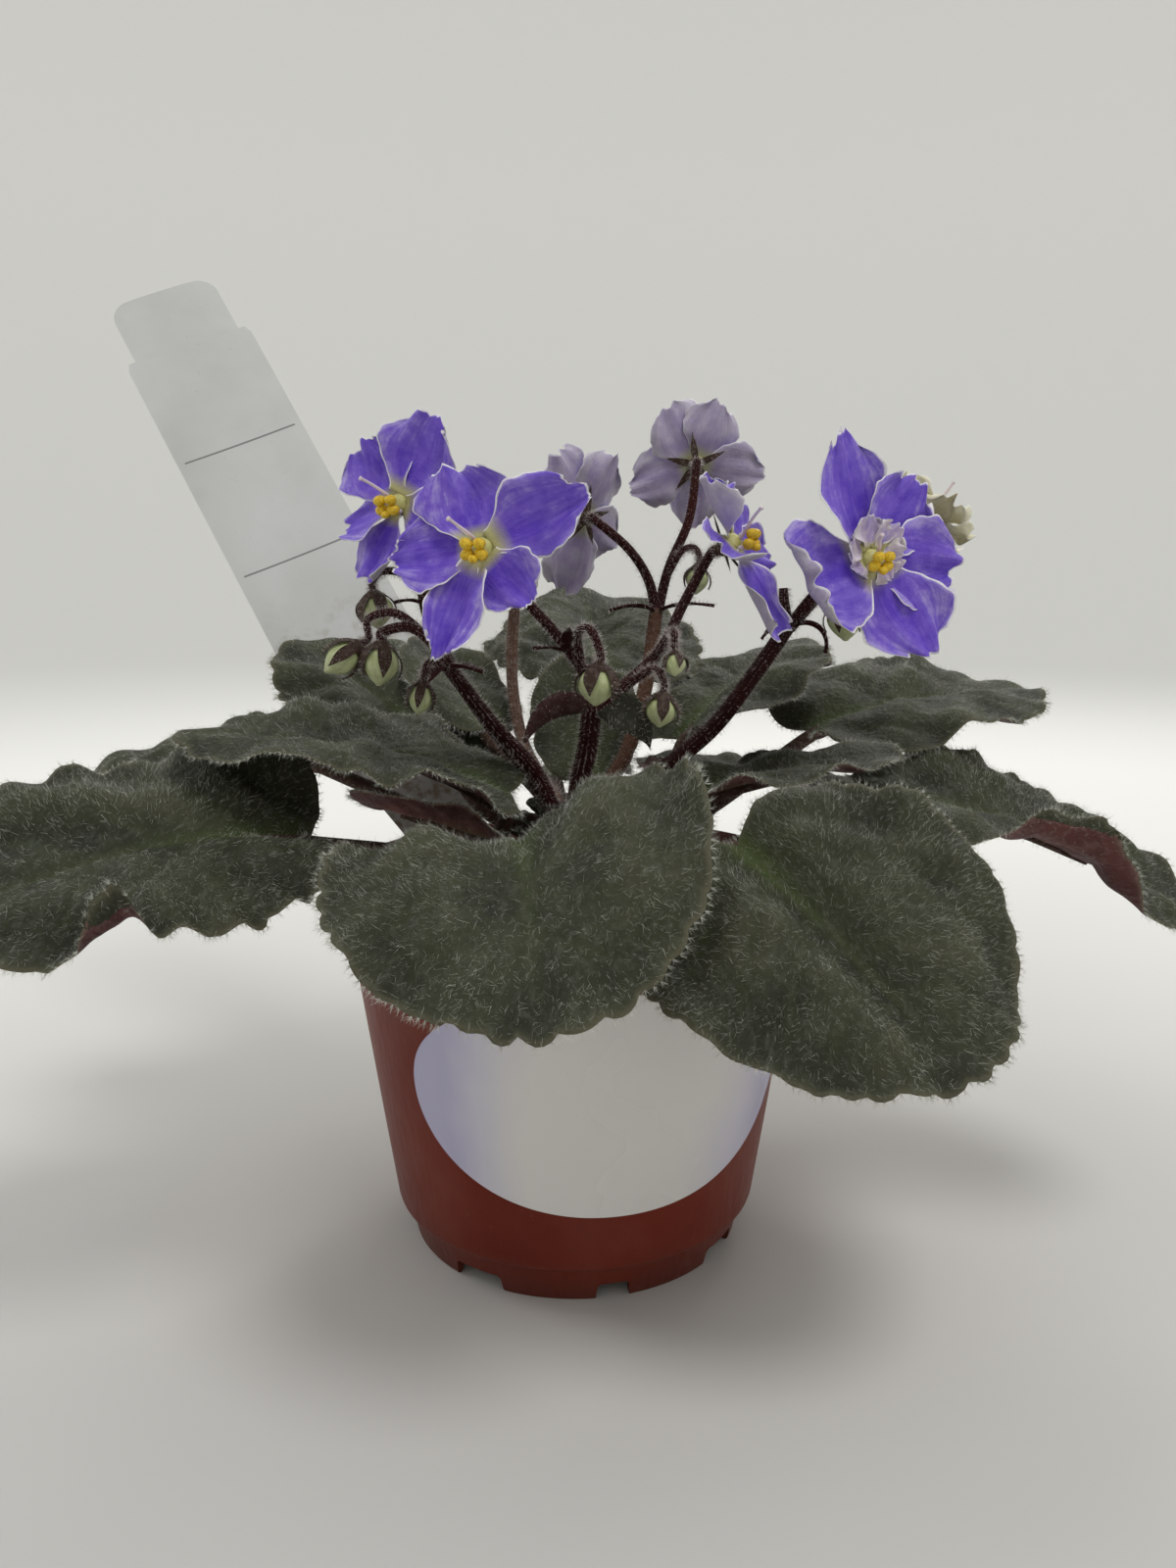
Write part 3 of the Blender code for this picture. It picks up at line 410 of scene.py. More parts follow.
def sheet_faces(columns, rows, start=0, flip=False):
    """Faces of a closed thin sheet: a grid of columns by rows points, then the same grid for its other side.
    Returns them with the side that each is on: 0 or 1, and 2 round the edge."""
    count, faces = columns * rows, []
    for i in range(columns - 1):
        for j in range(rows - 1):
            a = start + i * rows + j
            faces.append((a, a + rows, a + rows + 1, a + 1))
            faces.append((a + count, a + count + 1, a + count + rows + 1, a + count + rows))
    if flip:
        faces = [face[:1] + face[:0:-1] for face in faces]
    sides = [k % 2 for k in range(len(faces))]
    border = [i * rows for i in range(columns)] + [(columns - 1) * rows + j for j in range(1, rows)]
    border += [i * rows + rows - 1 for i in range(columns - 2, -1, -1)] + list(range(rows - 2, 0, -1))
    for a, b in zip(border, border[1:] + border[:1]):
        faces.append((start + a, start + a + count, start + b + count, start + b))
    return faces, sides + [2] * len(border)


LABEL_GLUE, LABEL_FACE = 0.12, 0.34  # how far the two sides of the paper stand off the wall
columns, rows = 96, 18
points, marks = [], []
for thick in (LABEL_GLUE, LABEL_FACE):
    for i in range(columns + 1):
        across = -math.cos(math.pi * i / columns)
        rise = (LABEL_HIGH - LABEL_LOW) / 2 * max(1 - abs(across) ** 2.2, 0.0) ** 0.5 + 0.2
        turn = math.radians(LABEL_MIDDLE + across * LABEL_HALF)
        for j in range(rows + 1):
            up = 2 * j / rows - 1
            height = (LABEL_LOW + LABEL_HIGH) / 2 + rise * up
            edge = max(abs(up), abs(across)) ** 24 * 0.12
            radius = body_radius(height) + thick + edge
            points.append((radius * math.cos(turn), radius * math.sin(turn), height))
            marks.append(abs(across) ** 1.6)
faces, _ = sheet_faces(columns + 1, rows + 1)
oval_label = turn_outwards(add_piece("oval_label", points, faces, [label_paper],
                                     marks={"towards_end": marks}))
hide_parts("pot_label")

# ---- Soil ----
# Dark peat mix pressed into the pot, with a crumbly top and white grains of perlite.

random = np.random.default_rng(7)
SOIL_TOP = 75.0

peat, tree, shader = finish_named("peat")
place = node(tree, "ShaderNodeTexCoord").outputs["Object"]
crumbs = node(tree, "ShaderNodeTexVoronoi", [("Vector", place), ("Scale", 420.0)])
shade = node(tree, "ShaderNodeTexNoise", [("Vector", place), ("Scale", 160.0), ("Detail", 8.0)])
base = ramp(tree, shade.outputs["Fac"],
            [(0.35, (0.016, 0.010, 0.007)), (0.55, (0.045, 0.028, 0.018)), (0.75, (0.11, 0.07, 0.045))])
tree.links.new(base, shader.inputs["Base Color"])
link_roughness(tree, shader, shade.outputs["Fac"], 0.8, 1.0)
link_bump(tree, shader, crumbs.outputs["Distance"], 0.9, 0.0012)

perlite, tree, shader = finish_named("perlite")
place = node(tree, "ShaderNodeTexCoord").outputs["Object"]
pores = node(tree, "ShaderNodeTexNoise", [("Vector", place), ("Scale", 1400.0), ("Detail", 4.0)])
tree.links.new(ramp(tree, pores.outputs["Fac"], [(0.35, (0.35, 0.32, 0.28)), (0.6, (0.72, 0.70, 0.66))]),
               shader.inputs["Base Color"])
link_bump(tree, shader, pores.outputs["Fac"], 0.7, 0.0004)
shader.inputs["Roughness"].default_value = 0.9


def waves_over(points, seed, scale, layers=5):
    """Smooth hills over points: sines in seeded directions, between about -1 and 1."""
    source = np.random.default_rng(seed)
    total = np.zeros(points.shape[:-1])
    for layer in range(layers):
        heading = source.normal(size=points.shape[-1])
        heading /= np.linalg.norm(heading)
        total += np.sin(points @ heading * (2 * np.pi / scale) * (1 + 0.35 * layer)
                        + source.uniform(0, 6.28)) / (1 + 0.4 * layer)
    return total / 2.2


rings, steps = 46, 150
reach = np.linspace(0, 1, rings + 1)[1:] * (body_radius(SOIL_TOP) - POT_WALL - 0.6)
turns = np.arange(steps) * 2 * np.pi / steps
flat = np.stack([reach[:, None] * np.cos(turns), reach[:, None] * np.sin(turns)], -1).reshape(-1, 2)
flat = np.vstack([[[0.0, 0.0]], flat])
lumps = 1.2 * waves_over(flat, 3, 22) + 0.7 * waves_over(flat, 4, 7) + 0.5 * waves_over(flat, 5, 3)
lumps += random.uniform(-0.3, 0.3, len(flat))
from_edge = np.clip((reach[-1] - np.hypot(flat[:, 0], flat[:, 1])) / 5, 0, 1)
top = SOIL_TOP + 0.2 + lumps * (0.3 + 0.7 * from_edge)
points = [tuple(p) for p in np.column_stack([flat, top])]
faces = [(0, 1 + k, 1 + (k + 1) % steps) for k in range(steps)]
for ring in range(rings - 1):
    base = 1 + ring * steps
    faces += [(base + k, base + steps + k, base + steps + (k + 1) % steps, base + (k + 1) % steps)
              for k in range(steps)]
start, last = len(points), 1 + (rings - 1) * steps
for height, radius in ((40.0, body_radius(40.0) - 1.9), (9.6, 39.0)):
    points += [(radius * math.cos(t), radius * math.sin(t), height) for t in turns]
points.append((0, 0, 9.6))
for a, b in ((last, start), (start, start + steps)):
    faces += [(a + k, b + k, b + (k + 1) % steps, a + (k + 1) % steps) for k in range(steps)]
faces += [(start + steps + k, len(points) - 1, start + steps + (k + 1) % steps) for k in range(steps)]
which = [0] * len(faces)
pebble = bmesh.new()
bmesh.ops.create_icosphere(pebble, subdivisions=1, radius=1.0)
ball_points = np.array([v.co[:] for v in pebble.verts])
ball_faces = [[v.index for v in f.verts] for f in pebble.faces]
pebble.free()
for k in range(420):
    turn, far = random.uniform(0, 6.283), 47.0 * math.sqrt(random.uniform(0.03, 1))
    x, y = far * math.cos(turn), far * math.sin(turn)
    grain = perlite if k % 6 == 0 else peat
    size = random.uniform(0.5, 1.4) if grain is perlite else random.uniform(0.4, 1.8)
    shape = ball_points * size * random.uniform(0.75, 1.25, ball_points.shape) * (1, 1, 0.7)
    shape += (x, y, SOIL_TOP + 0.8)
    start = len(points)
    points += [tuple(p) for p in shape]
    faces += [tuple(i + start for i in f) for f in ball_faces]
    which += [int(grain is perlite)] * len(ball_faces)
peat_fill = turn_outwards(add_piece("peat_fill", points, faces, [peat, perlite], which))
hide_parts("soil")

# ---- Crown ----
# The short woody stem in the middle of the rosette, brown and scarred where old leaves came away. Leaves and
# flower stalks grow from it.

CROWN_RADIUS, CROWN_TAPER = 8.6, 1.9
CROWN_LOW, CROWN_HIGH, CROWN_TOP = 66.2, 98.4, 99.2

bark, tree, shader = finish_named("crown_bark")
place = node(tree, "ShaderNodeTexCoord").outputs["Object"]
scars = node(tree, "ShaderNodeTexVoronoi", [("Vector", place), ("Scale", 260.0)])
shade = node(tree, "ShaderNodeTexNoise", [("Vector", place), ("Scale", 300.0), ("Detail", 6.0)])
base = ramp(tree, shade.outputs["Fac"],
            [(0.3, (0.035, 0.022, 0.012)), (0.6, (0.10, 0.07, 0.035)), (0.8, (0.16, 0.13, 0.06))])
relief = sum_of(tree, scars.outputs["Distance"], shade.outputs["Fac"])
tree.links.new(base, shader.inputs["Base Color"])
link_roughness(tree, shader, shade.outputs["Fac"], 0.65, 0.9)
link_bump(tree, shader, relief, 0.8, 0.0008)

levels = np.linspace(0, 1, 24)
outline = [(CROWN_RADIUS - CROWN_TAPER * t**3 + 0.35 * math.sin(t * 40),
            CROWN_LOW + (CROWN_HIGH - CROWN_LOW) * t) for t in levels]
outline = [(0.0, CROWN_LOW)] + outline + [(0.0, CROWN_TOP)]
points, faces = turned(outline, 40)
points = np.array(points)
around = np.arctan2(points[:, 1], points[:, 0])
swell = 1 + 0.03 * np.sin(5 * around + points[:, 2] * 0.5) + 0.02 * np.sin(9 * around - points[:, 2] * 0.9)
points[:, :2] *= swell[:, None]
woody_crown = turn_outwards(add_piece("woody_crown", points, faces, [bark]))
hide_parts("crown")

# ---- Plant tag ----
# A stake cut from thin white plastic sheet: pointed foot, straight body, a narrower head with round
# corners. It has fine ruled lines across it, and soil has stained it low down.

TAG_FOOT = Vector((-20.0, 22.0, 66.0))
TAG_AXIS = Vector((-0.485, 0.34, 0.805)).normalized()
TAG_ACROSS = Vector((0.98, 0.18, 0.0))
TAG_LENGTH, TAG_WIDTH, TAG_HEAD_WIDTH = 211.0, 37.0, 31.0
TAG_HEAD_LENGTH, TAG_POINT_LENGTH, TAG_THICKNESS = 20.0, 70.0, 0.7
TAG_CORNER, TAG_STEP = 6.0, 2.5
TAG_RULES = (0.552, 0.735)

tag_plastic, tree, shader = finish_named("tag_plastic")
along = node(tree, "ShaderNodeAttribute", attribute_name="up_the_tag").outputs["Fac"]
across = node(tree, "ShaderNodeAttribute", attribute_name="across_the_tag").outputs["Fac"]
place = node(tree, "ShaderNodeTexCoord").outputs["Object"]
shade = node(tree, "ShaderNodeTexNoise", [("Vector", place), ("Scale", 35.0), ("Detail", 5.0)])
base = ramp(tree, shade.outputs["Fac"], [(0.3, (0.55, 0.56, 0.54)), (0.7, (0.63, 0.64, 0.63))])
line_share = None
for height in TAG_RULES:
    away = node(tree, "ShaderNodeMath", [(0, along), (1, height)], operation="SUBTRACT").outputs[0]
    away = node(tree, "ShaderNodeMath", [(0, away)], operation="ABSOLUTE").outputs[0]
    line = node(tree, "ShaderNodeMapRange",
                [("Value", away), ("From Min", 0.0010), ("From Max", 0.0016), ("To Min", 1.0),
                 ("To Max", 0.0)])
    line = line.outputs[0]
    line_share = line if line_share is None else sum_of(tree, line_share, line, "MAXIMUM")
inside = node(tree, "ShaderNodeMapRange", [("Value", across), ("From Min", 0.90), ("From Max", 0.88)])
ruled = sum_of(tree, line_share, inside.outputs[0], "MULTIPLY")
base = mix(tree, sum_of(tree, ruled, 0.75, "MULTIPLY"), base, (0.06, 0.06, 0.065, 1))
spots = node(tree, "ShaderNodeTexNoise",
             [("Vector", place), ("Scale", 260.0), ("Detail", 8.0), ("Roughness", 0.7)])
low = node(tree, "ShaderNodeMapRange", [("Value", along), ("From Min", 0.50), ("From Max", 0.34)])
stain = node(tree, "ShaderNodeMapRange",
             [("Value", spots.outputs["Fac"]), ("From Min", 0.5), ("From Max", 0.66)])
stain_share = sum_of(tree, sum_of(tree, stain.outputs[0], low.outputs[0], "MULTIPLY"), 0.85, "MULTIPLY")
base = mix(tree, stain_share, base, (0.25, 0.17, 0.08, 1))
dusted = use(tree, dust, Colour=base, Dust_Colour=(0.30, 0.27, 0.22, 1), Amount=0.18, Scale=40.0)
skin = node(tree, "ShaderNodeTexNoise", [("Vector", place), ("Scale", 900.0), ("Detail", 3.0)])
tree.links.new(dusted.outputs["Colour"], shader.inputs["Base Color"])
link_roughness(tree, shader, shade.outputs["Fac"], 0.34, 0.5)
link_bump(tree, shader, skin.outputs["Fac"], 0.06, 0.0003)
shader.inputs["Subsurface Weight"].default_value = 0.08
shader.inputs["Subsurface Radius"].default_value = (0.002, 0.002, 0.002)

half, head, shoulder = TAG_WIDTH / 2, TAG_HEAD_WIDTH / 2, TAG_LENGTH - TAG_HEAD_LENGTH


def tag_half_width(height):
    if height < TAG_POINT_LENGTH:
        return 4.0 + (half - 4.0) * height / TAG_POINT_LENGTH
    if height < shoulder - TAG_STEP:
        return half
    if height < shoulder:
        return half - (half - head) * 0.35 * (height - shoulder + TAG_STEP) / TAG_STEP
    if height < TAG_LENGTH - TAG_CORNER:
        return head
    rise = (height - TAG_LENGTH + TAG_CORNER) / TAG_CORNER
    return head - TAG_CORNER + TAG_CORNER * math.sqrt(max(1 - rise**2, 0))


tag_across = (TAG_ACROSS - TAG_AXIS * TAG_ACROSS.dot(TAG_AXIS)).normalized()
tag_out = TAG_AXIS.cross(tag_across)
heights = list(np.linspace(0, TAG_POINT_LENGTH, 12))
heights += list(np.linspace(TAG_POINT_LENGTH + 4, shoulder - 2.6, 22))
heights += [shoulder - 2.5, shoulder - 1.2, shoulder - 0.01, shoulder + 0.01, shoulder + 5, shoulder + 10,
            TAG_LENGTH - TAG_CORNER]
heights += [TAG_LENGTH - TAG_CORNER + TAG_CORNER * math.sin(math.pi / 2 * t)
            for t in np.linspace(0.1, 0.999, 10)]
columns = 13
points, up_marks, across_marks = [], [], []
for height in heights:
    wide = tag_half_width(height)
    for layer in (-1, 1):
        for j in range(columns):
            side = 2 * j / (columns - 1) - 1
            thick = TAG_THICKNESS / 2 * (1 - 0.55 * abs(side) ** 14)
            bow = 0.5 * math.sin(math.pi * height / TAG_LENGTH) * (1 - side**2)
            points.append(TAG_FOOT + TAG_AXIS * height + tag_across * side * wide
                          + tag_out * (thick * layer + bow - 0.25))
            up_marks.append(height / TAG_LENGTH)
            across_marks.append(abs(side))
faces = []
ring = 2 * columns
around = list(range(columns)) + list(range(2 * columns - 1, columns - 1, -1))
for i in range(len(heights) - 1):
    for a, b in zip(around, around[1:] + around[:1]):
        faces.append((i * ring + a, i * ring + b, (i + 1) * ring + b, (i + 1) * ring + a))
faces += [tuple(around), tuple((len(heights) - 1) * ring + a for a in reversed(around))]
stake = turn_outwards(add_piece("tag_stake", points, faces, [tag_plastic],
                                marks={"up_the_tag": up_marks, "across_the_tag": across_marks}, sharp=60))
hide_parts("plant_tag")

# ---- Leaves ----
# Thick, brittle, heart-based leaves with round-toothed edges. The skin is puckered between sunken veins,
# dark grey-green above and maroon below, and covered in fine white hairs. Each grows on a brown stalk.

LEAF_THICKNESS = 1.0
LEAF_HAIR_WIDTH, LEAF_EDGE_HAIR_WIDTH, LEAF_STALK_HAIR_WIDTH = 0.038, 0.055, 0.075
LEAF_STALK_RADIUS, SMALL_LEAF_STALK_RADIUS = 1.9, 1.5
STEM_SIDES = 14

hair_white, tree, shader = finish_named("leaf_hair")
place = node(tree, "ShaderNodeTexCoord").outputs["Object"]
strand = node(tree, "ShaderNodeTexNoise", [("Vector", place), ("Scale", 400.0), ("Detail", 2.0)])
tree.links.new(ramp(tree, strand.outputs["Fac"], [(0.3, (0.32, 0.33, 0.27)), (0.7, (0.70, 0.71, 0.64))]),
               shader.inputs["Base Color"])
link_roughness(tree, shader, strand.outputs["Fac"], 0.3, 0.5)
shader.inputs["Specular IOR Level"].default_value = 0.6

# Fine hair: a pale bloom of down too small to model, as a colour veil with a bump of short strokes.
down, down_in, down_out = effect(
    "fine_down",
    [("Colour", (0.1, 0.1, 0.1, 1)), ("Down Colour", (0.4, 0.42, 0.4, 1)), ("Amount", 0.3), ("Scale", 900.0)],
    [("Colour", "NodeSocketColor"), ("Relief", "NodeSocketFloat")],
)
place = node(down, "ShaderNodeTexCoord").outputs["Object"]
bend = node(down, "ShaderNodeTexNoise", [("Vector", place), ("Scale", 120.0), ("Detail", 2.0)])
bent = node(down, "ShaderNodeVectorMath",
            [(0, place), (1, sum_of(down, bend.outputs["Fac"], 0.004, "MULTIPLY"))], operation="ADD")
stroke_place = node(down, "ShaderNodeMapping",
                    [("Vector", bent.outputs[0]), ("Rotation", (0.4, 0.3, 0.7)), ("Scale", (1.0, 0.22, 1.0))])
strokes = node(down, "ShaderNodeTexNoise",
               [("Vector", stroke_place.outputs[0]), ("Scale", down_in.outputs["Scale"]), ("Detail", 3.0),
                ("Roughness", 0.65)])
stroke_mask = node(down, "ShaderNodeMapRange",
                   [("Value", strokes.outputs["Fac"]), ("From Min", 0.48), ("From Max", 0.72)])
veil = sum_of(down, sum_of(down, stroke_mask.outputs[0], 0.8, "MULTIPLY"), 0.2)
veil = sum_of(down, veil, down_in.outputs["Amount"], "MULTIPLY")
down.links.new(mix(down, veil, down_in.outputs["Colour"], down_in.outputs["Down Colour"]),
               down_out.inputs["Colour"])
down.links.new(stroke_mask.outputs[0], down_out.inputs["Relief"])


def leaf_finish(name, dark, light, vein_colour, base_colour, edge_colour, veil_colour, veil_amount,
                shine=0.12):
    """A leaf skin: two greens in soft patches, painted light on the domes and painted shade in the hollows,
    veins, a paler heart at the stalk, an edge, and down.
    """
    made, tree, shader = finish_named(name)
    place = node(tree, "ShaderNodeTexCoord").outputs["Object"]
    patches = node(tree, "ShaderNodeTexNoise",
                   [("Vector", place), ("Scale", 60.0), ("Detail", 5.0), ("Roughness", 0.6)])
    skin = ramp(tree, patches.outputs["Fac"], [(0.32, dark), (0.68, light)])
    vein = node(tree, "ShaderNodeAttribute", attribute_name="vein").outputs["Fac"]
    pucker = node(tree, "ShaderNodeAttribute", attribute_name="pucker").outputs["Fac"]
    heart = node(tree, "ShaderNodeAttribute", attribute_name="heart").outputs["Fac"]
    edge = node(tree, "ShaderNodeAttribute", attribute_name="edge").outputs["Fac"]
    # Painted light and shade: the skin is lighter on the raised domes and darker in the hollows, read from
    # the pucker mark.
    raised = node(tree, "ShaderNodeMapRange",
                  [("Value", pucker), ("To Min", 0.42), ("To Max", 1.5)]).outputs[0]
    skin = mix(tree, 1.0, skin, node(tree, "ShaderNodeCombineColor",
                                     [(0, raised), (1, raised), (2, raised)]).outputs[0], "MULTIPLY")
    skin = mix(tree, sum_of(tree, vein, 0.55, "MULTIPLY"), skin, (*vein_colour, 1))
    skin = mix(tree, heart, skin, (*base_colour, 1))
    skin = mix(tree, sum_of(tree, edge, 0.7, "MULTIPLY"), skin, (*edge_colour, 1))
    downy = use(tree, down, Colour=skin, Down_Colour=(*veil_colour, 1), Amount=veil_amount, Scale=700.0)
    cells = node(tree, "ShaderNodeTexVoronoi", [("Vector", place), ("Scale", 900.0)])
    relief = sum_of(tree, downy.outputs["Relief"], sum_of(tree, cells.outputs["Distance"], 0.8, "MULTIPLY"))
    tree.links.new(downy.outputs["Colour"], shader.inputs["Base Color"])
    link_roughness(tree, shader, patches.outputs["Fac"], 0.5, 0.72)
    link_bump(tree, shader, relief, 0.45, 0.0004)
    shader.inputs["Specular IOR Level"].default_value = shine
    shader.inputs["Sheen Weight"].default_value = 0.03
    shader.inputs["Sheen Roughness"].default_value = 0.4
    shader.inputs["Sheen Tint"].default_value = (0.8, 0.85, 0.8, 1)
    return made


leaf_top = leaf_finish("leaf_top", (0.023, 0.026, 0.013), (0.054, 0.056, 0.031), (0.050, 0.064, 0.022),
                       (0.062, 0.088, 0.022), (0.15, 0.14, 0.09), (0.21, 0.22, 0.18), 0.24)
leaf_under = leaf_finish("leaf_under", (0.070, 0.020, 0.020), (0.130, 0.045, 0.040), (0.30, 0.15, 0.13),
                         (0.20, 0.15, 0.08), (0.22, 0.16, 0.13), (0.40, 0.30, 0.29), 0.20)
leaf_stalk = leaf_finish("leaf_stalk", (0.085, 0.035, 0.022), (0.150, 0.070, 0.035), (0.2, 0.1, 0.05),
                         (0.13, 0.10, 0.04), (0.2, 0.1, 0.05), (0.42, 0.34, 0.30), 0.25)

# Where stalk and blade meet, the way the blade heads in plan, its rise and roll at base and tip, length
# and width, how far its sides bend down, its edge's waves (height, count, phase), and an edge that curls.
LEAVES = {
    "leaf_front_left": dict(crown=80.5, joint=(-55, -32, 103), heading=205, rise=(10, -34), size=(77, 63),
                            roll=(26, 18), camber=4, waves=(3.2, 5, 0.6), curl=(1, 0.55, 0.075, 0.72, 3.2)),
    "leaf_front": dict(crown=80.5, joint=(-11, -40, 103), heading=276, rise=(10, -48), size=(64, 73),
                       roll=(-18, -10), camber=-20, waves=(1.6, 4, 2.4),
                       puffs=((0.30, 0.26, 11, 5.6), (0.26, -0.26, 11, 5.6), (0.62, 0.22, 8, 3.0),
                              (0.6, -0.24, 9, 3.4))),
    "leaf_front_right": dict(crown=80.5, joint=(33, -41, 102), heading=310, rise=(-22, -42), size=(63, 77),
                             roll=(-26, -6), camber=8, waves=(1.4, 4, 0.8),
                             puffs=((0.38, -0.2, 10, 3.4), (0.62, 0.2, 12, 3.0), (0.75, -0.15, 9, 2.0))),
    "leaf_right": dict(crown=80.5, joint=(66, -8, 107), heading=350, rise=(0, -44), size=(79, 52),
                       roll=(-10, -8), camber=-6, leaves=(1, -0.45), waves=(2.4, 4, 0.0),
                       curl=(-1, 0.50, 0.14, 0.62, 4.5)),
    "leaf_back_right": dict(crown=80.5, joint=(34, 44, 103), heading=52, rise=(4, -34), size=(66, 62),
                            roll=(0, 0), camber=16, waves=(2.2, 5, 1.0)),
    "leaf_back_left": dict(crown=80.5, joint=(-6, 52, 102), heading=104, rise=(4, -34), size=(52, 54),
                           roll=(0, 0), camber=16, waves=(2.0, 5, 3.0)),
    "leaf_left": dict(crown=84.5, joint=(-61, 13, 112), heading=170, rise=(14, -30), size=(62, 48),
                      roll=(6, 4), camber=4, waves=(1.8, 4, 2.0)),
    "leaf_left_under": dict(crown=84.5, joint=(-18, -21, 99), heading=200, rise=(28, 8), size=(31, 26),
                            roll=(-10, -16), camber=-8, leaves=(-0.6, -0.8), waves=(0.8, 4, 1.0)),
    "leaf_left_upper": dict(crown=89.0, joint=(-15, -15, 108), heading=188, rise=(32, -14), size=(70, 50),
                            roll=(8, 8), camber=4, leaves=(-0.9, -0.4), waves=(1.6, 6, 1.2)),
    "leaf_right_low": dict(crown=86.5, joint=(28, -8, 108), heading=5, rise=(14, 0), size=(46, 36),
                           roll=(0, 0), camber=6, leaves=(1, 0.0), waves=(1.3, 5, 0.4)),
    "leaf_right_upper": dict(crown=84.5, joint=(60, 27, 118), heading=19, rise=(20, -12), size=(65, 62),
                             roll=(-14, -8), camber=4, waves=(1.8, 5, 2.6)),
    "leaf_left_top": dict(crown=93.5, joint=(-29, 6, 113), heading=146, rise=(36, 14), size=(56, 48),
                          roll=(10, 10), camber=14, leaves=(-1, 0.1), waves=(1.2, 5, 0.0)),
    "leaf_right_top": dict(crown=94.0, joint=(25, 10, 119), heading=50, rise=(32, 3), size=(54, 48),
                           roll=(12, 4), camber=16, waves=(1.2, 5, 2.0)),
    "leaf_back_top": dict(crown=90.5, joint=(7, 30, 131), heading=96, rise=(24, 12), size=(58, 60),
                          roll=(-4, 4), camber=26, waves=(1.0, 4, 0.5)),
    "leaf_centre_left": dict(crown=96.0, joint=(-21, 13, 119), heading=128, rise=(40, 22), size=(36, 27),
                             roll=(0, 0), camber=10, leaves=(-0.5, 0.9), waves=(0.8, 5, 0.0)),
    "leaf_young": dict(crown=95.5, joint=(3, 10, 108), heading=96, rise=(62, 48), size=(32, 27),
                       roll=(4, 0), camber=-8, waves=(0.8, 4, 0.0)),
}


def blade_point(leaf, along, across, lift=0.0):
    """Points of a blade's upper side, from distances along the midrib and left of it."""
    length, width = leaf["size"]
    heading = math.radians(leaf["heading"])
    flat = np.array([math.cos(heading), math.sin(heading), 0.0])
    left = np.array([-math.sin(heading), math.cos(heading), 0.0])
    up = np.array([0.0, 0.0, 1.0])
    stops = np.linspace(-0.4, 1.3, 120) * length

    def rise_at(far):
        share = np.clip(far / length, 0, 1)
        return np.radians(leaf["rise"][0] + (leaf["rise"][1] - leaf["rise"][0]) * share)

    middles = rise_at((stops[1:] + stops[:-1]) / 2)
    steps = (np.cos(middles)[:, None] * flat + np.sin(middles)[:, None] * up) * np.diff(stops)[:, None]
    rib = np.vstack([np.zeros(3), np.cumsum(steps, 0)])
    rib -= np.array([np.interp(0.0, stops, rib[:, k]) for k in range(3)])
    rib += np.array(leaf["joint"], float)
    on_rib = np.stack([np.interp(along, stops, rib[:, k]) for k in range(3)], -1)
    rise = rise_at(along)
    ahead = np.cos(rise)[..., None] * flat + np.sin(rise)[..., None] * up
    above = np.cross(ahead, np.broadcast_to(left, ahead.shape))
    share = np.clip(along / length, 0, 1)
    roll = np.radians(leaf["roll"][0] + (leaf["roll"][1] - leaf["roll"][0]) * share)[..., None]
    side = left * np.cos(roll) - above * np.sin(roll)
    top = np.cross(ahead, side)
    bend = math.radians(leaf["camber"]) / (width / 2)
    turn = bend * across
    out, drop = (np.sin(turn) / bend, (1 - np.cos(turn)) / bend) if abs(bend) > 1e-6 else (across, 0 * across)
    normal = top * np.cos(turn)[..., None] + side * np.sin(turn)[..., None]
    raised = normal * np.asarray(lift)[..., None]
    return on_rib + side * out[..., None] - top * drop[..., None] + raised, normal


def smooth_path(stops, per_span):
    """Points on a Catmull-Rom curve through the stops. Each stop is a row of numbers."""
    stops = np.array(stops, float)
    ends = np.vstack([2 * stops[0] - stops[1], stops, 2 * stops[-1] - stops[-2]])
    made = []
    for i in range(1, len(ends) - 2):
        a, b, c, d = ends[i - 1 : i + 3]
        for t in np.arange(per_span) / per_span:
            made.append(0.5 * (2 * b + (c - a) * t + (2 * a - 5 * b + 4 * c - d) * t**2
                               + (3 * b - a - 3 * c + d) * t**3))
    return np.array(made + [stops[-1]])


def tube(stops, sides=14, per_span=8, start=0, flat=1.0):
    """Points and faces of a closed round stem through stops of (x, y, z, radius), numbered from start."""
    path = smooth_path(stops, per_span) if len(stops) > 2 else np.array(stops, float)
    points, faces, side = [], [], None
    turns = np.arange(sides) * 2 * np.pi / sides
    for i, stop in enumerate(path):
        ahead = path[min(i + 1, len(path) - 1)][:3] - path[max(i - 1, 0)][:3]
        ahead /= np.linalg.norm(ahead)
        if side is None:
            side = np.cross(ahead, (0.3, 0.2, 0.9) if abs(ahead[2]) < 0.9 else (1, 0, 0))
        side = side - ahead * side.dot(ahead)
        side /= np.linalg.norm(side)
        over = np.cross(ahead, side)
        points += list(stop[:3] + stop[3]
                       * (np.cos(turns)[:, None] * side + flat * np.sin(turns)[:, None] * over))
    for i in range(len(path) - 1):
        for k in range(sides):
            a, b = start + i * sides + k, start + i * sides + (k + 1) % sides
            faces.append((a, b, b + sides, a + sides))
    last = start + (len(path) - 1) * sides
    faces += [tuple(start + k for k in reversed(range(sides))), tuple(last + k for k in range(sides))]
    return np.array(points), faces


def hair_faces_from(start, count):
    faces = []
    for a in range(start, start + 7 * count, 7):
        faces += [(a, a + 1, a + 2, a + 3), (a + 3, a + 2, a + 4, a + 5), (a + 5, a + 4, a + 6)]
    return faces


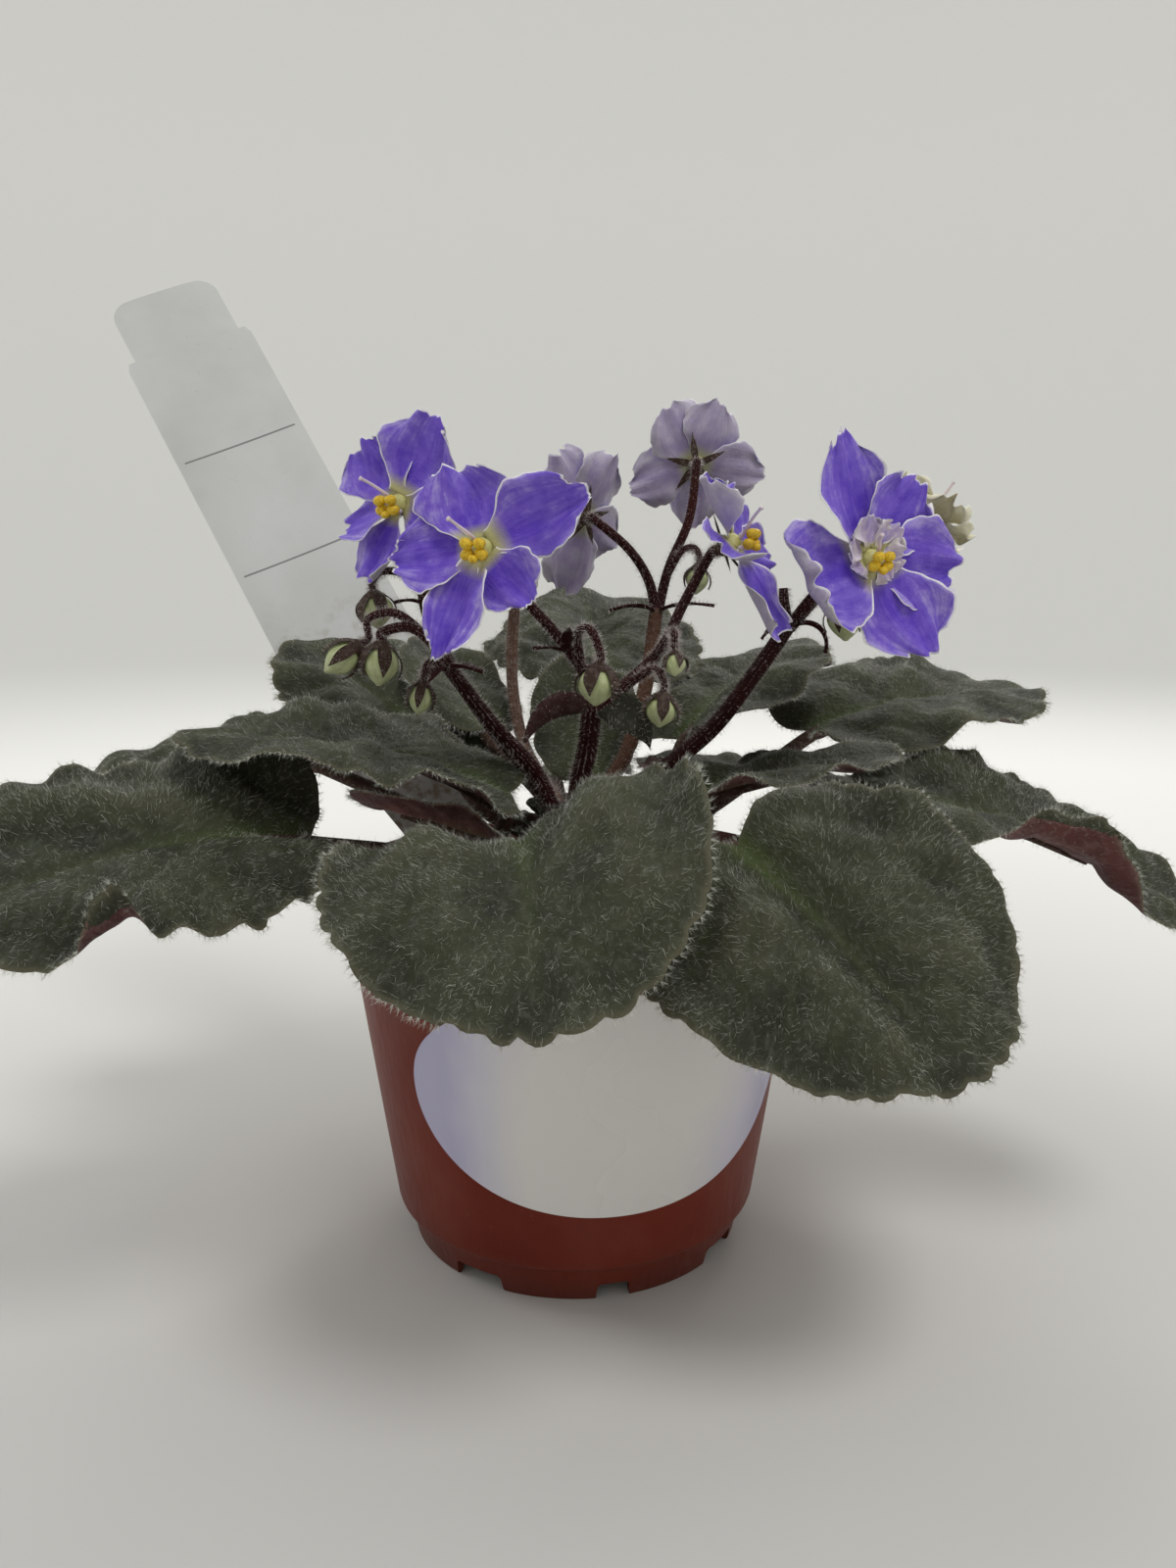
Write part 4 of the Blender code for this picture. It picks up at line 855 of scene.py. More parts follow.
def hairs(roots, ways, lengths, width, start, source):
    """Fine tapered hairs: each a wavy ribbon of seven points. Returns points and faces from start."""
    count = len(roots)
    ways = ways / np.linalg.norm(ways, axis=1)[:, None]
    any_way = source.normal(size=(count, 3))
    side = np.cross(ways, any_way)
    side /= np.linalg.norm(side, axis=1)[:, None]
    bend = np.cross(side, ways) * (lengths * source.uniform(-0.25, 0.35, count))[:, None]
    low = roots + ways * lengths[:, None] * 0.36 - bend * 0.35
    high = roots + ways * lengths[:, None] * 0.70 + bend * 0.25
    tip = roots + ways * lengths[:, None] * 0.95 + bend
    wide = (width * source.uniform(0.7, 1.2, count) / 2)[:, None] * side
    points = np.stack([roots - wide, roots + wide, low + wide * 0.9, low - wide * 0.9, high + wide * 0.65,
                       high - wide * 0.65, tip], 1)
    return points.reshape(-1, 3), hair_faces_from(start, count)


def fold_over(across, side, start, bend_radius, amount):
    """Rolls a sheet's edge up past a fold line. Returns the new distance across and the lift."""
    past = np.clip(across * side - start, 0, None)
    turn = np.clip(amount * past / bend_radius, 1e-6, 3.3)
    return across - side * past * (1 - np.sin(turn) / turn), past * (1 - np.cos(turn)) / turn


def leaf_form(leaf, seed, rings, turns):
    """The grid of a blade: distances along and across, the relief, and the marks that its skin reads."""
    length, width = leaf["size"]
    long, wide = length * 0.58, width / 2
    angle = np.arange(turns) * 2 * np.pi / turns
    reach = long * wide / np.hypot(wide * np.cos(angle), long * np.sin(angle))
    to_tip = np.minimum(angle, 2 * np.pi - angle)
    reach *= 1 - 0.24 * np.exp(-(((np.pi - angle) / 0.30) ** 2)) + 0.03 * np.exp(-((to_tip / 0.3) ** 2))
    teeth = round((length + width) / 3.7)
    tooth = np.abs(np.sin(angle * teeth / 2 + 0.9 * np.sin(2 * angle + seed)
                          + 0.5 * np.sin(5 * angle + 2 * seed)))
    depth = 0.040 * (1 + 0.5 * np.sin(3 * angle + seed) + 0.3 * np.sin(7 * angle + 3 * seed))
    reach *= 1 + depth * (np.sqrt(tooth) - 0.75) * np.clip(abs(np.pi - angle) / 0.5, 0, 1)
    share = (np.arange(1, rings + 1) / rings)[:, None] ** 0.85
    along = length * 0.42 + reach * share * np.cos(angle)
    across = reach * share * np.sin(angle)
    share = np.broadcast_to(share, along.shape)
    # Side veins leave the midrib at a slant and curve towards the tip.
    spacing = length / 5.0
    flat = np.stack([along, across], -1)
    size = min(1.0, length / 55)
    drift = 0.16 * waves_over(flat, seed + 3, 30, 3)
    slant = (along - np.abs(across) * 0.62 - across**2 * 0.006) / spacing
    slant = slant + 0.2 * np.sign(across) + 0.35 + drift
    from_vein = np.abs((slant + 0.5) % 1 - 0.5) * spacing
    from_rib = np.abs(across)
    fade = np.clip((1.02 - share) / 0.35, 0, 1)
    side_groove = np.exp(-((from_vein / 1.3) ** 2)) * fade * np.clip(from_rib / 3, 0, 1)
    onward = np.clip((length - along) / (0.35 * length), 0, 1)
    rib_groove = np.exp(-((from_rib / 1.5) ** 2)) * onward
    cells = np.abs(waves_over(flat, seed + 11, 9.0, 6))
    domes = waves_over(flat, seed + 5, 24, 4)
    pillows = np.sin(np.pi / 2 * np.clip(from_vein / (0.5 * spacing), 0, 1)) * np.clip(from_rib / 7, 0, 1)
    rough_share = np.clip(0.5 + 0.6 * waves_over(flat, seed + 21, 40, 3), 0.15, 1)
    lift = size * (0.75 * pillows * fade**0.5 * rough_share + 0.25 * cells * fade - 0.7 * rib_groove
                   - 0.3 * side_groove * rough_share)
    lift += size * (1.9 * domes * np.clip(from_rib / 10, 0, 1)
                    - 3.0 * np.exp(-((from_rib / 7.5) ** 2)) * onward + 1.4)
    puffed = 0 * along
    for far, aside, puff_reach, puff_height in leaf.get("puffs", ()):
        puffed += puff_height * np.exp(-(((along - far * length) / puff_reach) ** 2)
                                       - ((across - aside * width) / puff_reach) ** 2)
    lift += puffed
    height, count, phase = leaf["waves"]
    lift += height * np.sin(count * angle + phase) * share**3
    lift += 0.35 * height * np.sin(teeth * 0.5 * angle + 2 * phase) * share**6
    fine = np.exp(-((np.abs(waves_over(flat, seed + 31, 5.0, 6)) / 0.09) ** 2))
    marks = {
        "vein": np.clip(rib_groove + 0.6 * side_groove + 0.2 * fine * fade, 0, 1),
        # Pucker is how high the skin domes. The skin reads it as painted light on the domes and painted shade
        # in the hollows.
        "pucker": np.clip(0.24 + 0.22 * pillows + 0.34 * domes + 0.25 * (cells - 0.3) + 0.08 * puffed, 0, 1),
        "heart": np.clip(np.exp(-((from_rib / 2.6) ** 2)) * np.clip(1.0 - along / (0.5 * length), 0, 1) * 0.9,
                         0, 0.6)
        + 0.25 * np.exp(-(((along - 3) / 7) ** 2) - (from_rib / 7) ** 2),
        "edge": np.clip((share - 0.965) / 0.035, 0, 1),
    }
    if "curl" in leaf:
        side, middle, spread, start, radius = leaf["curl"]
        across, rolled = fold_over(across, side, start * wide, radius,
                                   np.exp(-(((along / length - middle) / spread) ** 4)))
        lift = lift + rolled
    return angle, along, across, lift, share, marks


for number, (name, leaf) in enumerate(LEAVES.items()):
    source = np.random.default_rng(100 + number)
    length, width = leaf["size"]
    small = length < 40
    rings, turns = (16, 112) if small else (30, 184)
    angle, along, across, lift, share, marks = leaf_form(leaf, number, rings, turns)
    top, normal = blade_point(leaf, along, across, lift)
    thinned = 0.35 + 0.65 * np.sqrt(np.clip((1.0 - share) / 0.12, 0, 1))
    thick = LEAF_THICKNESS * (0.7 if small else 1.0) * thinned
    under = top - normal * thick[..., None]
    middle_lift = np.array([lift[0].mean()])
    centre, centre_normal = blade_point(leaf, np.array([length * 0.42]), np.array([0.0]), middle_lift)
    per_side = rings * turns + 1
    points = np.vstack([centre, top.reshape(-1, 3), centre - centre_normal * thick[0, 0],
                        under.reshape(-1, 3)])
    faces, which = [], []
    for base, flip in ((0, False), (per_side, True)):
        for k in range(turns):
            fan = (base, base + 1 + k, base + 1 + (k + 1) % turns)
            faces.append(fan[::-1] if flip else fan)
        for ring in range(rings - 1):
            a = base + 1 + ring * turns
            for k in range(turns):
                after = (k + 1) % turns
                quad = (a + k, a + turns + k, a + turns + after, a + after)
                faces.append(quad[::-1] if flip else quad)
        which += [int(flip)] * (len(faces) - len(which))
    rim = 1 + (rings - 1) * turns
    for k in range(turns):
        after = (k + 1) % turns
        faces.append((rim + k, rim + per_side + k, rim + per_side + after, rim + after))
    which += [0] * turns
    values = {}
    for mark, grid in marks.items():
        one_side = np.concatenate([[grid[0].mean()], grid.reshape(-1)])
        values[mark] = np.concatenate([one_side, one_side])
    # The stalk runs on under the blade as its midrib.
    joint = Vector(leaf["joint"])
    out = Vector((*leaf.get("leaves", (joint.x, joint.y)), 0)).normalized()
    foot = out * CROWN_RADIUS + Vector((0, 0, leaf["crown"]))
    stretch = (joint - foot).length
    rib_along = np.array([-3.0, 2.0, length * 0.2, length * 0.42, length * 0.66])
    radius = SMALL_LEAF_STALK_RADIUS if small else LEAF_STALK_RADIUS
    rib_radius = np.array([0.92, 0.85, 0.66, 0.48, 0.26]) * radius
    onward = np.clip((length - rib_along) / (0.35 * length), 0, 1)
    rib_lift = min(1.0, length / 55) * (1.4 - 3.7 * onward) - 0.55 - 0.85 * rib_radius
    rib_points, _ = blade_point(leaf, rib_along, rib_along * 0, rib_lift)
    knee = foot + out * stretch * 0.42 + Vector((0, 0, stretch * 0.2))
    stops = [(*foot, radius), (*knee, radius * 0.97)]
    stops += [(*p, r) for p, r in zip(rib_points, rib_radius)]
    stem_points, stem_faces = tube(stops, STEM_SIDES, 7, len(points))
    points = np.vstack([points, stem_points])
    faces += stem_faces
    which += [2] * len(stem_faces)
    # Hairs on the upper side lean to the tip, those on the edge point outwards, those on the stalk stand up.
    area = length * width * 0.75
    count = int(area * (2.6 if leaf["crown"] < 84 else 1.8))
    ring_pick = (source.uniform(0, 1, count) ** 0.5 * (rings - 1)).astype(int)
    turn_pick = source.integers(0, turns, count)
    # Hairs stand thicker on the domes, which makes the domes paler: a painted highlight.
    kept = source.uniform(0, 1, count) < 0.25 + 1.1 * marks["pucker"][ring_pick, turn_pick]
    ring_pick, turn_pick, count = ring_pick[kept], turn_pick[kept], int(kept.sum())
    roots = top[ring_pick, turn_pick]
    ahead = top[ring_pick, (turn_pick + 1) % turns] - top[ring_pick, turn_pick - 1]
    outward = np.cross(ahead, normal[ring_pick, turn_pick])
    outward /= np.linalg.norm(outward, axis=1)[:, None] + 1e-9
    ways = outward * source.uniform(0.3, 1.0, count)[:, None]
    ways += normal[ring_pick, turn_pick] * source.uniform(0.15, 0.6, count)[:, None]
    ways += source.normal(size=(count, 3)) * 0.38
    slide = outward * source.uniform(0, 1.6, count)[:, None]
    hair_points, hair_faces = hairs(roots - slide * 0.6, ways, source.uniform(0.9, 2.4, count),
                                    LEAF_HAIR_WIDTH, len(points), source)
    points = np.vstack([points, hair_points])
    faces += hair_faces
    which += [3] * len(hair_faces)
    count = int((length + width) * 20)
    turn_pick = source.integers(0, turns, count)
    roots = top[-1, turn_pick] - normal[-1, turn_pick] * 0.15
    outward = top[-1, turn_pick] - top[-4, turn_pick]
    outward /= np.linalg.norm(outward, axis=1)[:, None]
    ways = outward + source.normal(size=(count, 3)) * 0.45
    hair_points, hair_faces = hairs(roots, ways, source.uniform(0.7, 2.0, count),
                                    LEAF_EDGE_HAIR_WIDTH, len(points), source)
    points = np.vstack([points, hair_points])
    faces += hair_faces
    which += [3] * len(hair_faces)
    pick = source.integers(0, len(stem_points) - STEM_SIDES, int(stretch * 9))
    along_stem = stem_points[pick + STEM_SIDES] - stem_points[pick]
    stem_middle = stem_points.reshape(-1, STEM_SIDES, 3).mean(1)[pick // STEM_SIDES]
    ways = stem_points[pick] - stem_middle
    ways /= np.linalg.norm(ways, axis=1)[:, None]
    roots = stem_points[pick] + along_stem * source.uniform(0, 1, len(pick))[:, None]
    ways = ways + source.normal(size=ways.shape) * 0.3
    hair_points, hair_faces = hairs(roots, ways, source.uniform(0.8, 1.8, len(pick)),
                                    LEAF_STALK_HAIR_WIDTH, len(points), source)
    points = np.vstack([points, hair_points])
    faces += hair_faces
    which += [3] * len(hair_faces)
    rest = len(points) - 2 * per_side
    values = {mark: np.concatenate([grid, np.zeros(rest)]) for mark, grid in values.items()}
    blade = add_piece(name + "_blade", points, faces, [leaf_top, leaf_under, leaf_stalk, hair_white], which,
                      values, sharp=0)
    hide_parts(name)

# The newest leaves stand in a dense tuft round the top of the crown, the youngest upright in the middle.
# The tuft also fills the middle of the rosette, where there is only deep shade: dark leaves put there as
# painted shade.
TUFT_LEAVES, GOLDEN_ANGLE = 22, 137.5  # each leaf stands a golden angle on from the one before it
source = np.random.default_rng(180)
points, faces, which = np.zeros((0, 3)), [], []
for k in range(TUFT_LEAVES):
    turn, old = GOLDEN_ANGLE * k, k / (TUFT_LEAVES - 1)
    heading = math.radians(turn)
    far = 3.0 + 5.0 * old
    x, y = far * math.cos(heading), far * math.sin(heading)
    leaf = dict(joint=(x, y, 99.0 - 5.0 * old), heading=turn, rise=(74 - 42 * old, 50 - 44 * old),
                size=(6 + 6 * old, 5 + 6 * old), roll=(0, 0), camber=-30, waves=(0.3, 4, k))
    rings, turns = 6, 30
    angle, along, across, lift, share, marks = leaf_form(leaf, 60 + k, rings, turns)
    top, normal = blade_point(leaf, along, across, lift - 1.0)
    under = top - normal * 0.5
    start = len(points)
    points = np.vstack([points, top.reshape(-1, 3), under.reshape(-1, 3)])
    count = rings * turns
    for ring in range(rings - 1):
        for j in range(turns):
            a, b = start + ring * turns + j, start + ring * turns + (j + 1) % turns
            faces += [(a, a + turns, b + turns, b),
                      (a + count, b + count, b + count + turns, a + count + turns)]
            which += [0, 1]
    last = start + (rings - 1) * turns
    for j in range(turns):
        a, b = last + j, last + (j + 1) % turns
        faces.append((a, a + count, b + count, b))
        which.append(0)
    faces += [tuple(range(start, start + turns)),
              tuple(reversed(range(start + count, start + count + turns)))]
    which += [0, 1]
    stops = [(0.4 * x, 0.4 * y, 92.0 - 5 * old, 0.9), (x, y, 96.5 - 5 * old, 0.9),
             tuple(top[0].mean(0) - normal[0].mean(0)) + (0.7,)]
    stem, stem_faces = tube(stops, 8, 4, len(points))
    points = np.vstack([points, stem])
    faces += stem_faces
    which += [2] * len(stem_faces)
    pick = source.integers(0, count, int(leaf["size"][0] * 22))
    ways = normal.reshape(-1, 3)[pick] + source.normal(size=(len(pick), 3)) * 0.6
    hair_points, hair_faces = hairs(top.reshape(-1, 3)[pick], ways, source.uniform(0.7, 1.8, len(pick)), 0.05,
                                    len(points), source)
    points = np.vstack([points, hair_points])
    faces += hair_faces
    which += [3] * len(hair_faces)
tuft = add_piece("crown_tuft", points, faces, [leaf_top, leaf_under, leaf_stalk, hair_white], which, sharp=0)

# ---- Flower stalks ----
# Dark maroon stalks that rise from the crown and fork. Small leafy bracts sit in pairs at each fork, and
# white hairs stand out all round.

stalk_skin = leaf_finish("stalk_skin", (0.034, 0.003, 0.005), (0.085, 0.014, 0.012), (0.10, 0.03, 0.02),
                         (0.08, 0.03, 0.02), (0.10, 0.04, 0.03), (0.24, 0.13, 0.12), 0.05)
brown_stalk_skin = leaf_finish("brown_stalk_skin", (0.14, 0.055, 0.030), (0.24, 0.115, 0.060),
                               (0.2, 0.1, 0.05),
                               (0.2, 0.1, 0.05), (0.2, 0.1, 0.05), (0.40, 0.32, 0.26), 0.12)
pale_stalk_skin = leaf_finish("pale_stalk_skin", (0.24, 0.12, 0.08), (0.38, 0.21, 0.14), (0.3, 0.2, 0.1),
                              (0.3, 0.2, 0.1), (0.3, 0.2, 0.1), (0.62, 0.52, 0.45), 0.25)
hair_pale, tree, shader = finish_named("stalk_hair")
place = node(tree, "ShaderNodeTexCoord").outputs["Object"]
strand = node(tree, "ShaderNodeTexNoise", [("Vector", place), ("Scale", 500.0), ("Detail", 2.0)])
tree.links.new(ramp(tree, strand.outputs["Fac"], [(0.3, (0.42, 0.34, 0.32)), (0.7, (0.76, 0.71, 0.69))]),
               shader.inputs["Base Color"])
link_roughness(tree, shader, strand.outputs["Fac"], 0.3, 0.5)

throat_green, tree, shader = finish_named("throat_green")
place = node(tree, "ShaderNodeTexCoord").outputs["Object"]
flesh = node(tree, "ShaderNodeTexNoise", [("Vector", place), ("Scale", 700.0), ("Detail", 4.0)])
tree.links.new(ramp(tree, flesh.outputs["Fac"], [(0.3, (0.42, 0.42, 0.12)), (0.7, (0.66, 0.62, 0.26))]),
               shader.inputs["Base Color"])
link_roughness(tree, shader, flesh.outputs["Fac"], 0.4, 0.6)

CALYX_DEPTH = 3.2
FADED_AT, FADED_FACES = (79, -1, 165), (0.62, 0.25, 0.74)
# Where each flower's face is, the way it faces, how cupped it is, and its petals: angle from the right,
# reach, width against reach, tilt, and how much of the far edge curls over.
FLOWERS = {
    "flower_left": dict(at=(-36, -19, 168.6), faces=(-0.42, -0.87, 0.16), cup=0.18, petals=(
        (121, 15.5, 1.05, 0.1, 0), (62, 19, 0.88, 0.15, 0), (-18, 14, 0.85, 0.1, 0), (-104, 17, 0.62, 0.2, 0),
        (-163, 13, 0.80, 0.7, 0))),
    "flower_front": dict(at=(-17, -41, 159), faces=(-0.26, -0.93, 0.22), cup=0.16, petals=(
        (106, 16.5, 1.05, 0.15, 0), (31, 22.5, 0.62, 0.25, 0), (-48, 15, 0.85, 0.2, 0),
        (-110, 22, 0.50, 0.1, 0), (184, 17.5, 0.78, 0.1, 0))),
    "flower_back_left": dict(at=(1.8, 22.4, 168.4), faces=(-0.62, 0.74, 0.24), cup=0.10, petals=(
        (118, 17, 0.92, 0.2, 0), (52, 17, 0.92, 0.2, 0), (-15, 15, 0.85, 0.1, 0), (-85, 19, 0.78, 0.1, 0),
        (-155, 15, 0.85, 0.1, 0))),
    "flower_back_right": dict(at=(30, 32.8, 181.6), faces=(0.06, 0.98, 0.18), cup=0.14, petals=(
        (116, 15.5, 0.86, 0.25, 0), (56, 15.5, 0.90, 0.2, 0), (-14, 17, 0.78, 0.15, 0),
        (-90, 16, 0.66, 0.1, 0), (-168, 17, 0.78, 0.15, 0))),
    "flower_middle": dict(at=(33.0, -19, 160.6), faces=(0.80, -0.40, 0.42), cup=0.22, petals=(
        (112, 15, 0.95, 0.1, 0.6), (52, 15, 0.9, 0.2, 0), (-18, 15, 0.85, 0.1, 0), (-90, 22, 0.60, 0.1, 0),
        (-165, 15, 0.85, 0.3, 0.5))),
    "flower_right": dict(at=(61.4, -22, 157.4), faces=(0.34, -0.93, 0.14), cup=0.20, petals=(
        (112, 26, 0.62, 0.3, 0), (52, 19, 0.82, 0.1, 0), (-6, 19.5, 0.92, 0.1, 0), (-64, 23, 0.78, 0.15, 0),
        (-160, 21, 1.05, 0.25, -1.0))),
}
BUDS = {
    "bud_left_upper": dict(at=(-42.4, -15.2, 147.2), tip=(0.1, 0.0, -1), size=(7.4, 7.4)),
    "bud_left_large": dict(at=(-39.6, -27, 136.6), tip=(-0.1, -0.05, -1), size=(7.4, 8.6)),
    "bud_left_twin": dict(at=(-47.2, -26, 137.6), tip=(-0.8, 0.0, -0.6), size=(6.4, 9.0)),
    "bud_left_low": dict(at=(-31.6, -26.0, 129.4), tip=(-0.2, 0.0, -1), size=(5.0, 6.8)),
    "bud_centre": dict(at=(5.0, -33.2, 132.8), tip=(-0.1, -0.1, -1), size=(8.0, 8.0)),
    "bud_round": dict(at=(20.6, -31.6, 136.6), tip=(0.0, -0.4, -0.9), size=(4.4, 4.6)),
    "bud_hanging": dict(at=(18.0, -31.2, 127.4), tip=(-0.1, 0.0, -1), size=(6.6, 6.6)),
    "bud_back": dict(at=(30, 24, 153.6), tip=(-0.1, 0, -1), size=(5.6, 6.8)),
    "bud_right": dict(at=(60.6, -4.8, 145.2), tip=(0.05, 0, -1), size=(8.2, 9.4)),
}
# Paths of (x, y, z, radius). A path that ends with a name runs on to that flower or bud. Bracts are small
# blades: where they join, the way they head, rise at base and tip, and size.
STALKS = {
    "stalk_left": dict(paths=[
        [(-4.8, -2.6, 101.0, 1.7), (-9, -4, 110, 1.7), (-18, -12, 122, 1.6), (-26, -23, 135, 1.5)],
        [(-24.5, -21, 132, 1.3), (-28, -25, 139, 1.2), (-33, -27, 143.6, 1.1), "bud_left_large"],
        [(-29, -25.5, 140.4, 1.1), (-36, -26, 146.4, 0.9), (-42, -26, 145.4, 0.8), "bud_left_twin"],
        [(-26, -23, 135, 1.1), (-29.5, -25, 136.4, 0.9), "bud_left_low"],
    ], bracts=[((-26, -23.5, 135.5), 330, (10, -20), (9, 3.6)),
               ((-27, -23.5, 135.5), 250, (0, -40), (8, 3.2))]),
    "stalk_left_back": dict(paths=[
        [(-5.2, 1.2, 101.0, 1.6), (-13, -1, 112, 1.6), (-24, -6, 128, 1.5), (-31, -13, 144, 1.4),
         (-33.0, -13, 157, 1.2), "flower_left"],
        [(-32.0, -13, 150, 1.0), (-36.5, -13.5, 154.5, 0.9), (-41, -14.8, 155, 0.8), "bud_left_upper"],
    ], bracts=[((-31.5, -13, 148), 340, (20, -30), (8, 3.4)), ((-32, -13.5, 148), 180, (30, -20), (7, 3.2))]),
    "stalk_centre": dict(paths=[
        [(0.4, -5.4, 101.0, 2.2), (1.0, -12, 108, 2.2), (3.0, -20, 118, 2.2), (4.0, -24, 128, 2.1)],
        [(4.0, -24, 126, 1.5), (2.5, -25, 134, 1.3), (-4.0, -28, 143, 1.1), (-11.0, -32, 151, 1.0),
         "flower_front"],
        [(4.0, -24, 126, 1.6), (10, -25, 131, 1.4), (18, -23, 138.5, 1.2), (23, -20, 148, 1.1),
         "flower_middle"],
        [(1.6, -25.5, 136.5, 0.9), (1.0, -29, 142.5, 0.9), (3.6, -32, 143.4, 0.9), "bud_centre"],
        [(17, -23.4, 137.5, 0.9), (20.0, -27, 142.4, 0.9), (20.6, -29.6, 142.4, 0.8), "bud_round"],
        [(11, -25, 131.5, 0.9), (15.6, -28.6, 134.9, 0.9), (17.6, -30.5, 134.9, 0.8), "bud_hanging"],
    ], bracts=[((3.0, -25.0, 127), 196, (16, -70), (17, 8), -50),
               ((5.0, -25.0, 127), 336, (10, -78), (16, 8), -60),
               ((-1.5, -27, 139), 190, (20, -10), (7, 2.6)), ((-1.5, -27, 139), 280, (60, 20), (8, 2.6))]),
    "stalk_right": dict(paths=[
        [(5.0, -1.6, 101.0, 1.9), (14, -3, 106, 1.9), (30, -6, 119, 1.9), (40, -10, 133, 1.8),
         (47.5, -13, 145, 1.7)],
        [(46.8, -12.8, 143, 1.4), (52, -14, 150, 1.3), "flower_right"],
        [(46.8, -12.8, 143, 1.3), (58, -9, 154.4, 1.1), (67, -5, 159.4, 0.9), "flower_faded"],
        [(46.5, -12.6, 143, 1.3), (45.6, -12.2, 148, 1.2), (45.4, -12, 151.5, 0.9)],
        [(49, -13, 146, 0.9), (55, -9, 151, 0.9), (59.4, -6, 153, 0.8), "bud_right"],
    ], bracts=[((47.5, -13.8, 143.5), 350, (30, -110), (12, 5)), ((46, -13.5, 143), 200, (20, -60), (7, 3))]),
    "stalk_back": dict(paths=[
        [(4.4, 3.2, 101.0, 1.8), (12, 9, 112, 1.8), (17, 17, 127, 1.8), (20, 23, 146, 1.7)],
        [(20, 23, 144, 1.3), (18, 23, 153, 1.2), (13, 20, 160.5, 1.1), "flower_back_left"],
        [(20, 23, 144, 1.3), (23, 25, 156, 1.2), (28, 26, 168, 1.1), "flower_back_right"],
        [(22.6, 24.6, 154, 0.8), (26, 24, 160, 0.8), (29, 24, 161, 0.8), "bud_back"],
    ], bracts=[((19.5, 22, 146), 195, (20, -20), (12, 4.6)), ((20.5, 22, 146), 345, (20, -10), (14, 4.6))]),
    "stalk_rear": dict(paths=[
        [(-3.6, 3.8, 101.0, 1.5), (-8.6, 9.6, 107, 1.5), (-13, 15, 115, 1.5), (-15.4, 18, 128, 1.4),
         (-15, 16, 142, 1.4), (-13, 10, 156, 1.1)],
    ], bracts=[]),
}


def run_to(path):
    """A path whose last stop is a name is carried on to just short of that flower or bud."""
    if not isinstance(path[-1], str):
        return path
    radius, name = path[-2][3] * 0.95, path[-1]
    if name in BUDS:
        at, out, back = BUDS[name]["at"], BUDS[name]["tip"], BUDS[name]["size"][1] / 2
    elif name in FLOWERS:
        at, out, back = FLOWERS[name]["at"], FLOWERS[name]["faces"], CALYX_DEPTH
    else:
        at, out, back = FADED_AT, FADED_FACES, CALYX_DEPTH
    end = Vector(at) - Vector(out).normalized() * (back - 0.1)
    before = end - Vector(out).normalized() * 2.0
    return path[:-1] + [(*before, radius), (*end, radius)]


def tube_hairs(stem_points, sides, count, lengths, width, start, source):
    """Hairs that stand out all round a tube."""
    pick = source.integers(0, len(stem_points) - sides, count)
    middles = stem_points.reshape(-1, sides, 3).mean(1)[pick // sides]
    ways = stem_points[pick] - middles
    ways /= np.linalg.norm(ways, axis=1)[:, None] + 1e-9
    along_stem = stem_points[pick + sides] - stem_points[pick]
    roots = stem_points[pick] + along_stem * source.uniform(0, 1, count)[:, None]
    ways = ways + source.normal(size=ways.shape) * 0.22
    return hairs(roots - ways * 0.08, ways, source.uniform(*lengths, count), width, start, source)


def small_blade(joint, heading, rise, size, roll, start, seed):
    """A bract: a small pointed blade. Returns its points and faces, and the side each face is on."""
    leaf = dict(joint=joint, heading=heading, rise=rise, size=size, roll=(roll, roll), camber=-30)
    columns, rows = 15, 7
    along = np.linspace(0, 1, columns)[:, None]
    side = np.linspace(-1, 1, rows)[None, :]
    wide = size[1] / 2 * (0.30 + 0.70 * np.sin(np.pi * np.clip(along, 0, 1) ** 0.75)) * (1 - along**5)
    across = side * wide
    along = np.broadcast_to(along * size[0], across.shape)
    lift = 0.25 * np.sin(3 * side + seed) * along / size[0]
    top, normal = blade_point(leaf, along, across, lift)
    thick = 0.5 * (1 - 0.6 * np.abs(side) ** 3)
    under = top - normal * np.broadcast_to(thick, across.shape)[..., None]
    points = np.vstack([top.reshape(-1, 3), under.reshape(-1, 3)])
    faces, sides = sheet_faces(columns, rows, start)
    return points, faces, sides, top, normal


